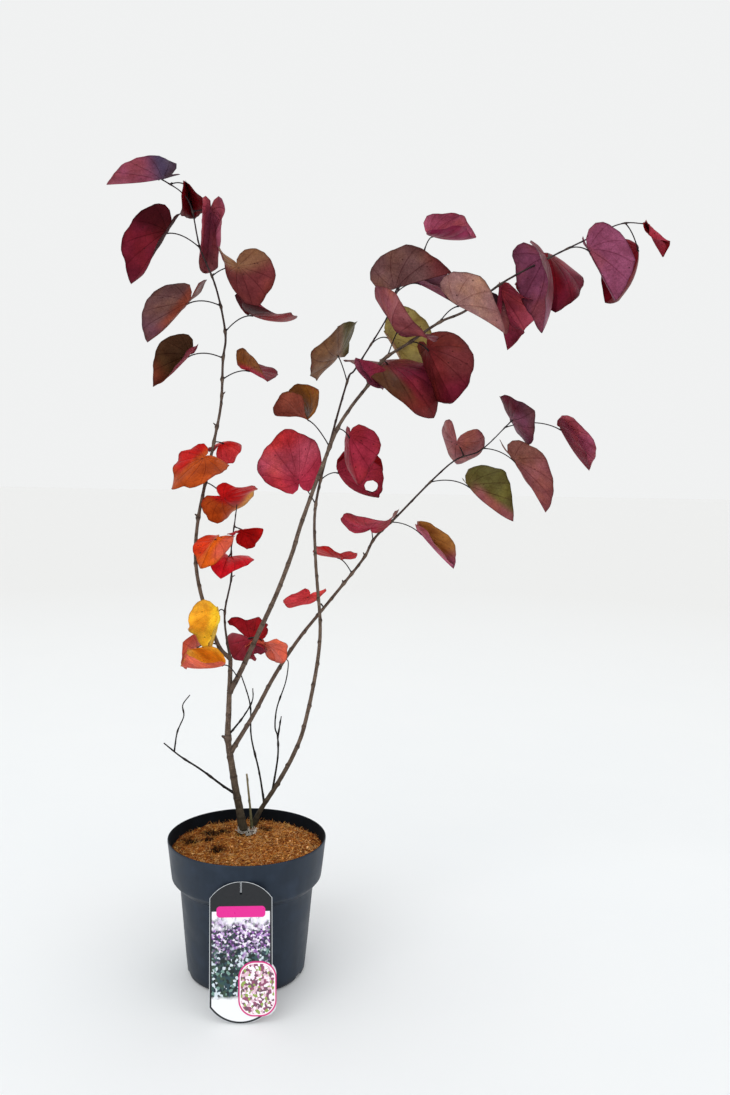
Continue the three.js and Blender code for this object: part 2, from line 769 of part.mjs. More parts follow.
function addNode(name, solid, material) {
  const mesh = new THREE.Mesh(geometryOf(solid), material);
  mesh.name = name;
  tree.add(mesh);
}

addNode("pot", potSolid(), potPlastic);
addNode("soil", soilSolid(), coir);
addNode("hang_tag", tagSolid(), card);

addNode("trunk", limbSolid(limbs.trunk), bark);
addNode("leader", limbSolid(limbs.leader, 0, leaderEnd).subtract(trunkFat), bark);
addNode("right_bough", limbSolid(limbs.rightBough, 0, rightEnd).subtract(trunkFat), bark);
addNode("back_bough", limbSolid(limbs.backBough, 0, backEnd).subtract(trunkFat), bark);
addNode("second_stem", limbSolid(limbs.secondStem, 0, secondEnd), bark);

addNode("dead_left", deadSolid("left", "leftTwig").subtract(trunkFat), deadWood);
addNode("dead_middle", deadSolid("middle").subtract(trunkFat), deadWood);
addNode("dead_back", deadSolid("back").subtract(secondFat), deadWood);
addNode("dead_right", deadSolid("right", "rightTwig").subtract(secondFat), deadWood);
addNode("cut_stub", deadSolid("stub"), deadWood);

const { leader, inner, rightBough, backBough, secondStem } = limbs;
const leftMiddle = spraySolid(leader, leftMiddleLeaves, { from: leaderEnd, to: leaderTop });
const leftTop = spraySolid(leader, leftTopLeaves, { from: leaderTop, to: 1 });
const leftLow = spraySolid(leader, leftLowLeaves, { spur: [-4, 5, 0] });
const innerSpray = spraySolid(inner, innerLeaves, { from: 0, to: 1 });
const lowSpray = spraySolid(rightBough, lowLeaves, { spur: [-1, -5, 1] });
const forkSpray = spraySolid(rightBough, forkLeaves, { spur: [1, 10, 0] });
const rightMiddle = spraySolid(rightBough, rightMiddleLeaves, { from: rightEnd, to: rightTip });
const rightTop = spraySolid(rightBough, rightTipLeaves, { from: rightTip, to: 1 });
const backSide = spraySolid(backBough, backSideLeaves, { spur: [-2, -4, 3] });
const backLow = spraySolid(backBough, backLowLeaves, { from: backEnd, to: backTip });
const backTop = spraySolid(backBough, backTipLeaves, { from: backTip, to: 1 });
const secondLow = spraySolid(secondStem, secondLowLeaves, { from: secondEnd, to: secondTop });
const secondTip = spraySolid(secondStem, secondTopLeaves, { from: secondTop, to: 1 });
const forkFat = joined([trunkFat, leaderFat]);

addNode("leaves_left_middle", leftMiddle, foliage(0xb82a1c));
addNode("leaves_left_top", leftTop, foliage(0x7a3a3c));
addNode("leaves_left_low", leftLow.subtract(forkFat), foliage(0xb04848));
addNode("leaves_inner", whole(innerSpray.subtract(forkFat)), foliage(0xc8481c));
addNode("leaves_low", lowSpray.subtract(rightFat), foliage(0xd8701c));
addNode("leaves_fork", forkSpray.subtract(rightFat), foliage(0x8c2c30));
addNode("leaves_right_middle", rightMiddle, foliage(0x7a3038));
addNode("leaves_right_tip", rightTop, foliage(0x723844));
addNode("leaves_back_side", backSide.subtract(backFat), foliage(0xb83038));
addNode("leaves_back_low", backLow, foliage(0x983040));
addNode("leaves_back_tip", backTop, foliage(0x7c404c));
addNode("leaves_second_low", secondLow, foliage(0x9c2c34));
addNode("leaves_second_top", secondTip, foliage(0x704038));

export default tree;
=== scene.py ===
import bpy
import numpy as np
from mathutils import Matrix, Vector


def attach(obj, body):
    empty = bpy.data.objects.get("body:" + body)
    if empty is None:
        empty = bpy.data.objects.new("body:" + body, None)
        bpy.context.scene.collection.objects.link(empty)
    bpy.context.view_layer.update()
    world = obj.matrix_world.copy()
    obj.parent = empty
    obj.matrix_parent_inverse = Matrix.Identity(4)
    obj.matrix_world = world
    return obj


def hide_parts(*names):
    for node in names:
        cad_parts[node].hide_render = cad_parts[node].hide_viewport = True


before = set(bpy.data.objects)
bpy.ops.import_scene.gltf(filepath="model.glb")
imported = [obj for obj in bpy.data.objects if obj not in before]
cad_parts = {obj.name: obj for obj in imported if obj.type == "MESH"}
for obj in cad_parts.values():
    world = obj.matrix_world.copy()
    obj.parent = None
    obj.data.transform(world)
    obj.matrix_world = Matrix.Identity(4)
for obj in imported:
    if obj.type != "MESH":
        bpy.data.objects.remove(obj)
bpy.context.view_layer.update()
print("frame loaded")

metre = 0.001


def linear(colour):
    # sRGB hex to linear, with an alpha of 1
    channels = np.array([int(colour[i : i + 2], 16) for i in (1, 3, 5)]) / 255
    low, high = channels / 12.92, ((channels + 0.055) / 1.055) ** 2.4
    return np.append(np.where(channels <= 0.04045, low, high), 1.0)


def smooth(low, high, value):
    # 0 below low, 1 above high and an S curve between them
    t = np.clip((value - low) / (high - low), 0, 1)
    return t * t * (3 - 2 * t)


def rotated(a, b, angle):
    # The pair (a, b) turned by an angle, from a towards b
    return a * np.cos(angle) - b * np.sin(angle), a * np.sin(angle) + b * np.cos(angle)


def circle(count):
    # Even angles right round, in radians
    return 2 * np.pi * np.arange(count) / count


def closedFaces(rings, columns):
    # Quads and end triangles over rings of points, with a pole first and one last
    j = np.arange(columns)
    k = (j + 1) % columns
    start = 1 + columns * np.arange(rings - 1)[:, None]
    quads = np.stack([start + j, start + k, start + columns + k, start + columns + j], -1)
    end = 1 + rings * columns
    caps = [
        np.stack([0 * j, 1 + k, 1 + j], -1),
        np.stack([0 * j + end, end - columns + j, end - columns + k], -1),
    ]
    return quads.reshape(-1, 4), np.vstack(caps)


def skin(points, first, last, **attributes):
    # A closed surface: rings of points with the same count, and a pole at each end.
    # Attributes hold one value per ring point; the poles take the mean of the nearest ring.
    rings, columns = points.shape[:2]
    quads, tris = closedFaces(rings, columns)
    part = {
        "points": np.vstack([first, points.reshape(-1, 3), last]),
        "quads": quads,
        "tris": tris,
        "slots": np.zeros(len(quads) + len(tris), int),
        "attributes": {},
    }
    for name, values in attributes.items():
        values = np.broadcast_to(values, (rings, columns, *np.shape(values)[2:]))
        ends = values[0].mean(0, keepdims=True), values[-1].mean(0, keepdims=True)
        flat = values.reshape(rings * columns, *values.shape[2:])
        part["attributes"][name] = np.concatenate([ends[0], flat, ends[1]])
    return outwards(part)


def outwards(part):
    # Turns all faces round if the surface's signed volume is negative
    p, q, t = part["points"], part["quads"], part["tris"]
    corners = np.vstack([q[:, [0, 1, 2]], q[:, [0, 2, 3]], t])
    a, b, c = (p[corners[:, i]] for i in range(3))
    if np.einsum("ij,ij->", a, np.cross(b, c)) < 0:
        part["quads"], part["tris"] = q[:, ::-1], t[:, ::-1]
    return part


def twoSlots(second, columns):
    # Material slots for a skin in two finishes: 0 or 1 for each band of its quads, 0 for the
    # triangles at its first pole and 1 for those at its last
    return np.concatenate([np.repeat(second, columns), np.repeat([0, 1], columns)])


attributeKinds = {1: ("FLOAT", "value"), 3: ("FLOAT_VECTOR", "vector"), 4: ("FLOAT_COLOR", "color")}


def addPiece(name, parts, materials, replaced=(), flat=False):
    # One object at the origin from many parts, riding on the plant. It has all quads first,
    # then all triangles.
    offsets = np.cumsum([0] + [len(part["points"]) for part in parts])[:-1]
    points = np.vstack([part["points"] for part in parts]) * metre
    quads = np.vstack([part["quads"] + o for part, o in zip(parts, offsets)])
    tris = np.vstack([part["tris"] + o for part, o in zip(parts, offsets)])
    loops = np.concatenate([quads.ravel(), tris.ravel()])
    starts = np.concatenate([4 * np.arange(len(quads)), 4 * len(quads) + 3 * np.arange(len(tris))])
    faces = [part["slots"][: len(part["quads"])] for part in parts]
    faces += [part["slots"][len(part["quads"]) :] for part in parts]
    mesh = bpy.data.meshes.new(name)
    mesh.vertices.add(len(points))
    mesh.vertices.foreach_set("co", points.ravel())
    mesh.loops.add(len(loops))
    mesh.loops.foreach_set("vertex_index", loops)
    mesh.polygons.add(len(starts))
    mesh.polygons.foreach_set("loop_start", starts)
    mesh.polygons.foreach_set("material_index", np.concatenate(faces))
    mesh.polygons.foreach_set("use_smooth", np.full(len(starts), not flat))
    mesh.update(calc_edges=True)
    for key in parts[0]["attributes"]:
        values = np.concatenate([part["attributes"][key] for part in parts])
        width = 1 if values.ndim == 1 else values.shape[1]
        kind, field = attributeKinds[width]
        mesh.attributes.new(key, kind, "POINT").data.foreach_set(field, values.ravel())
    for material in materials:
        mesh.materials.append(material)
    piece = bpy.data.objects.new(name, mesh)
    bpy.context.scene.collection.objects.link(piece)
    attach(piece, "root")
    if replaced:
        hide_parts(*replaced)
    print(name, len(points), "points")


def tube(points, radii, sides, reference, **attributes):
    # A bar round a line of points. Its section is squared to the line and kept turned
    # towards the reference direction.
    tangent = np.gradient(points, axis=0)
    tangent /= np.linalg.norm(tangent, axis=1, keepdims=True)
    side = reference - tangent * (tangent @ reference)[:, None]
    side /= np.linalg.norm(side, axis=1, keepdims=True)
    other = np.cross(tangent, side)
    turn = circle(sides)
    way = np.cos(turn)[:, None] * side[:, None] + np.sin(turn)[:, None] * other[:, None]
    radii = np.broadcast_to(radii, (len(points), sides))
    rings = points[:, None] + radii[..., None] * way
    travelled = np.insert(np.cumsum(np.linalg.norm(np.diff(points, axis=0), axis=1)), 0, 0)
    grain = np.stack(np.broadcast_arrays(
        radii * np.cos(turn), radii * np.sin(turn), travelled[:, None]), -1) * metre
    return skin(rings, points[0], points[-1], grain=grain, **attributes)


def addMaterial(name, **sockets):
    # A material whose principled shader has these values on its sockets
    material = bpy.data.materials.new(name)
    material.use_nodes = True
    shader = material.node_tree.nodes["Principled BSDF"]
    for socket, value in sockets.items():
        shader.inputs[socket.replace("_", " ")].default_value = value
    return material, material.node_tree, shader


def setInputs(tree, node, inputs):
    # Each input is a value, an output, or a node whose first output in use is meant. A text
    # among them is a colour in hex.
    for key, value in inputs.items():
        if isinstance(value, bpy.types.Node):
            value = next(output for output in value.outputs if output.enabled)
        if isinstance(value, bpy.types.NodeSocket):
            tree.links.new(value, node.inputs[key])
        else:
            node.inputs[key].default_value = linear(value) if isinstance(value, str) else value


def addNode(tree, kind, inputs=None, **settings):
    # One shader node with its settings and its links. A Mix is one of colours.
    node = tree.nodes.new("ShaderNode" + kind)
    if kind == "Mix":
        node.data_type = "RGBA"
    for key, value in settings.items():
        setattr(node, key, value)
    setInputs(tree, node, inputs or {})
    return node


def layered(tree, colour, over, pattern, between, shares=(0, 1), kind="MIX"):
    # A tint laid over a colour by a pattern: its share goes from the first of the shares to
    # the second as the pattern goes between two values. MULTIPLY stains instead of covering.
    ends = {"From Min": between[0], "From Max": between[1], "To Min": shares[0], "To Max": shares[1]}
    share = addNode(tree, "MapRange", {"Value": pattern, **ends})
    return addNode(tree, "Mix", {0: share, 6: colour, 7: over}, blend_type=kind)


view = {"eye": (0.1684, -1.582, 0.816), "down": 6.28, "roll": 1.03, "lens": 36.03}


def addCamera():
    # Placed by its eye in metres, its pitch and its roll. Its lens is in millimetres.
    down, roll = np.radians(view["down"]), np.radians(view["roll"])
    forward = np.array([0, np.cos(down), -np.sin(down)])
    level = np.array([0, np.sin(down), np.cos(down)])
    right = np.cos(roll) * np.array([1, 0, 0]) + np.sin(roll) * level
    up = np.cos(roll) * level - np.sin(roll) * np.array([1, 0, 0])
    data = bpy.data.cameras.new("camera")
    data.lens = view["lens"]
    data.sensor_width = 36
    data.clip_end = 50
    camera = bpy.data.objects.new("camera", data)
    place = np.eye(4)
    place[:3, :] = np.column_stack([right, up, -forward, view["eye"]])
    camera.matrix_world = Matrix(place.tolist())
    bpy.context.scene.collection.objects.link(camera)
    bpy.context.scene.camera = camera


addCamera()


# The points that each limb passes through, and its diameter at its foot and its tip.
# A nub is a stub of a lost side shoot: its place along the limb, and where it points.
limbs = {
    "trunk": {
        "path": [(-13, 60, 192.3), (-18, 59, 223), (-26, 56, 268), (-35, 49, 335),
                 (-34, 44, 385), (-32, 41, 430), (-31, 40, 465)],
        "foot": 12.6, "tip": 6.3, "flare": 3.4, "nubs": [(0.54, (-9, -2, 5))],
    },
    "leader": {
        "path": [(-31, 40, 465), (-49, 34, 488), (-71, 20, 560), (-79, 10, 618), (-74, 2, 680),
                 (-51, -10, 786), (-40, -13, 843), (-37, -14, 906), (-34, -13, 944),
                 (-49, -4, 1009), (-73, 8, 1064), (-86, 15, 1119), (-101, 17, 1142),
                 (-130, 18, 1160)],
        "foot": 6.3, "tip": 1.5,
        "nubs": [(0.31, (-5, -1, 4)), (0.49, (-5, -1, 5)), (0.55, (5, -1, 5))],
    },
    "inner": {
        "path": [(-31, 40, 465), (-36, 34, 495), (-38, 24, 539), (-27, 12, 592),
                 (-26, 2, 637), (-20, -8, 676), (-16, -16, 702)],
        "foot": 3.6, "tip": 1.5, "nubs": [(0.54, (5, 0, 3))],
    },
    "right_bough": {
        "path": [(-32, 42, 414), (-15, 34, 448), (38, 10, 566), (61, 4, 627), (78, 0, 683),
                 (120, -3, 799), (143, -6, 841), (170, -12, 877), (188, -16, 909),
                 (226, -22, 935), (267, -28, 963), (304, -32, 980), (358, -38, 1021),
                 (468, -38, 1079), (513, -34, 1100), (547, -32, 1101)],
        "foot": 7.8, "tip": 1.5, "nubs": [(0.53, (-3, -2, 6))],
    },
    "back_bough": {
        "path": [(-31, 50, 318), (3, 72, 375), (32, 92, 430), (69, 112, 486), (133, 138, 565),
                 (167, 150, 609), (183, 157, 639), (214, 166, 670), (303, 190, 759),
                 (353, 198, 782), (401, 204, 829)],
        "foot": 7, "tip": 1.6, "nubs": [(0.45, (-2, -2, 6)), (0.53, (-3, -2, 6))],
    },
    "second_stem": {
        "path": [(1, 78, 192.3), (12, 77, 217), (41, 75, 265), (64, 73, 311), (82, 71, 365),
                 (102, 66, 491), (94, 62, 615), (93, 60, 695), (111, 57, 781), (138, 60, 883),
                 (150, 60, 902), (192, 54, 971), (206, 56, 1008), (222, 60, 1037),
                 (248, 68, 1076)],
        "foot": 7.4, "tip": 1.4, "flare": 3.4,
    },
}
deadLimbs = {
    "left": {
        "path": [(-25, 57, 250), (-45, 52, 265), (-77, 42, 293), (-106, 34, 315),
                 (-130, 30, 336)],
        "foot": 3.8, "tip": 2,
    },
    "leftTwig": {
        "path": [(-115, 34, 322), (-110, 32, 353), (-100, 30, 378), (-101, 28, 396),
                 (-90, 26, 412)],
        "foot": 2.2, "tip": 1.5,
    },
    "middle": {
        "path": [(-34, 48, 346), (-12, 42, 375), (2, 40, 401), (3, 38, 421)],
        "foot": 3, "tip": 1.5,
    },
    "back": {
        "path": [(18, 77, 228), (9, 82, 279), (-4, 88, 331), (-6, 84, 385), (-20, 66, 441)],
        "foot": 3.2, "tip": 1.7,
    },
    "right": {
        "path": [(31, 76, 250), (39, 70, 304), (39, 66, 338), (35, 63, 355), (38, 60, 386),
                 (51, 56, 427), (55, 54, 457), (51, 53, 464)],
        "foot": 3.2, "tip": 1.5,
    },
    "rightTwig": {
        "path": [(39, 66, 336), (41, 68, 350), (44, 70, 370)],
        "foot": 2.3, "tip": 1.5,
    },
}
cutStub = {"path": [(0, 66, 192.3), (-3, 64, 230), (-8, 62, 280)], "foot": 3.8, "tip": 2.8}


def limbCurve(path):
    # A Catmull-Rom spline through the points, and the length travelled at each sample
    p = np.array(path, float)
    p = np.vstack([2 * p[0] - p[1], p, 2 * p[-1] - p[-2]])
    a, b, c, d = p[:-3], p[1:-2], p[2:-1], p[3:]
    t = np.linspace(0, 1, 40, endpoint=False)[:, None, None]
    line = (2 * t**3 - 3 * t**2 + 1) * b + (t**3 - 2 * t**2 + t) * (c - a) / 2
    line += (3 * t**2 - 2 * t**3) * c + (t**3 - t**2) * (d - b) / 2
    line = np.vstack([line.transpose(1, 0, 2).reshape(-1, 3), p[-2]])
    steps = np.linalg.norm(np.diff(line, axis=0), axis=1)
    return line, np.insert(np.cumsum(steps), 0, 0)


def placeOn(curve, share):
    # The points at shares of a curve's length
    line, travelled = curve
    at = np.asarray(share) * travelled[-1]
    return np.stack([np.interp(at, travelled, line[:, i]) for i in range(3)], -1)


barkRelief = {
    "step": 1.6, "sides": 18, "thick": 5.0, "thin": 1.8,  # diameters of old and of young bark
    "flareReach": 11, "collar": 0.35, "collarReach": 9,
    "joint": 0.28, "jointRise": 0.5, "jointReach": 4,
    "nodeStep": 34, "nodeReach": 2.4, "nodeRing": 0.06, "nodeKnob": 0.34,
}


def limbPart(limb, joints, seed):
    # A tapering limb. It swells at its root, at each joint where a leaf or nub stands, at old
    # nodes and at the soil, and shallow ribs wander along it.
    curve = limbCurve(limb["path"])
    length = curve[1][-1]
    share = np.linspace(0, 1, int(length / barkRelief["step"]) + 2)
    away = share * length
    diameter = limb["foot"] + (limb["tip"] - limb["foot"]) * share
    diameter = diameter + limb.get("flare", 0) * np.exp(-away / barkRelief["flareReach"])
    if "flare" not in limb:
        diameter = diameter * (1 + barkRelief["collar"] * np.exp(-away / barkRelief["collarReach"]))
    reach = barkRelief["jointReach"]
    swelling = sum(np.exp(-(((away - at * length) / reach) ** 2)) for at in joints)
    diameter = diameter * (1 + barkRelief["joint"] * swelling) + barkRelief["jointRise"] * swelling
    turn = circle(barkRelief["sides"])
    s = away[:, None]
    ribs = 0.035 * np.sin(3 * turn + s / 17 + seed) + 0.03 * np.sin(5 * turn - s / 11 + 2 * seed)
    rings = 0.02 * np.sin(s / 2.3 + 2 * np.sin(turn + seed)) + 0.015 * np.sin(s / 6.1 + seed)
    # old nodes stand on alternate sides, each with a dark scar above it
    nodes = np.arange(18 + 8 * np.sin(seed), length - 6, barkRelief["nodeStep"])
    off = (s - nodes) / barkRelief["nodeReach"]
    sides = np.maximum(0, np.cos(turn[:, None] - np.pi * np.arange(len(nodes)) - seed))
    bumps = np.exp(-(off**2)) @ (barkRelief["nodeRing"] + barkRelief["nodeKnob"] * sides.T)
    scar = np.exp(-((1.6 * off - 1.4) ** 2)).sum(1, keepdims=True)
    radii = diameter[:, None] / 2 * (1 + ribs + rings + bumps)
    age = smooth(barkRelief["thin"], barkRelief["thick"], diameter)[:, None]
    part = tube(placeOn(curve, share), radii, barkRelief["sides"], np.array([0, 1, 0]), age=age,
                scar=scar)
    if "flare" in limb or limb is cutStub:  # cut level with the soil
        part["points"][: 1 + barkRelief["sides"], 2] = limb["path"][0][2]
    return part


stub = {
    "along": (0, 0.35, 0.6, 0.8, 0.93, 1), "girth": (1, 0.95, 0.8, 0.62, 0.45, 0.15), "sides": 8,
    "nubRadius": 0.36, "nubLength": 1.1,  # shares of the limb's diameter and of the nub's own way
    "spurRadius": 1.6, "spurLength": 1.15, "budRadius": 1.15, "budLength": 3.2, "budRise": 0.9,
}


def stubPart(root, out, radius):
    # The broken end of a lost shoot, a spur or a bud: a bar that narrows to a blunt point
    t = np.array(stub["along"])
    points = np.array(root, float) + t[:, None] * np.array(out, float)
    radii = radius * np.array(stub["girth"])
    reference = np.cross(out, (0.3, 0.9, 0.2))
    reference /= np.linalg.norm(reference)
    return tube(points, radii[:, None], stub["sides"], reference, age=0.5, scar=0.0)


# plain autumn tints, dealt out by leaf
leafTones = {
    "soot": "#281018", "darkClaret": "#380c10", "garnet": "#680c18", "claret": "#641828",
    "oxblood": "#702828", "brick": "#783028", "plum": "#603c48", "duskPlum": "#504860",
    "blood": "#901820", "burgundy": "#842c40", "ruby": "#982c3c", "russet": "#804030",
    "moss": "#504424", "olive": "#605c30", "umber": "#583c28", "bronze": "#7c4c20",
    "khaki": "#805c40", "raspberry": "#a03458", "mallow": "#884860", "rosewood": "#985858",
    "heather": "#8c4850", "thistle": "#a05064", "cocoa": "#6c4c48", "cinder": "#6c3030",
    "fire": "#b81818", "crimson": "#b03448", "rust": "#b04c1c", "poppy": "#d03c40",
    "flame": "#d43818", "scarlet": "#e0202c", "rose": "#bc5060", "ash": "#a88078",
    "orange": "#d86018", "pink": "#c06880", "coral": "#e06850", "salmon": "#cc5840",
    "ochre": "#c08848", "straw": "#a09054", "amber": "#fcb838", "gold": "#d89418",
    "lemon": "#fce044",
}

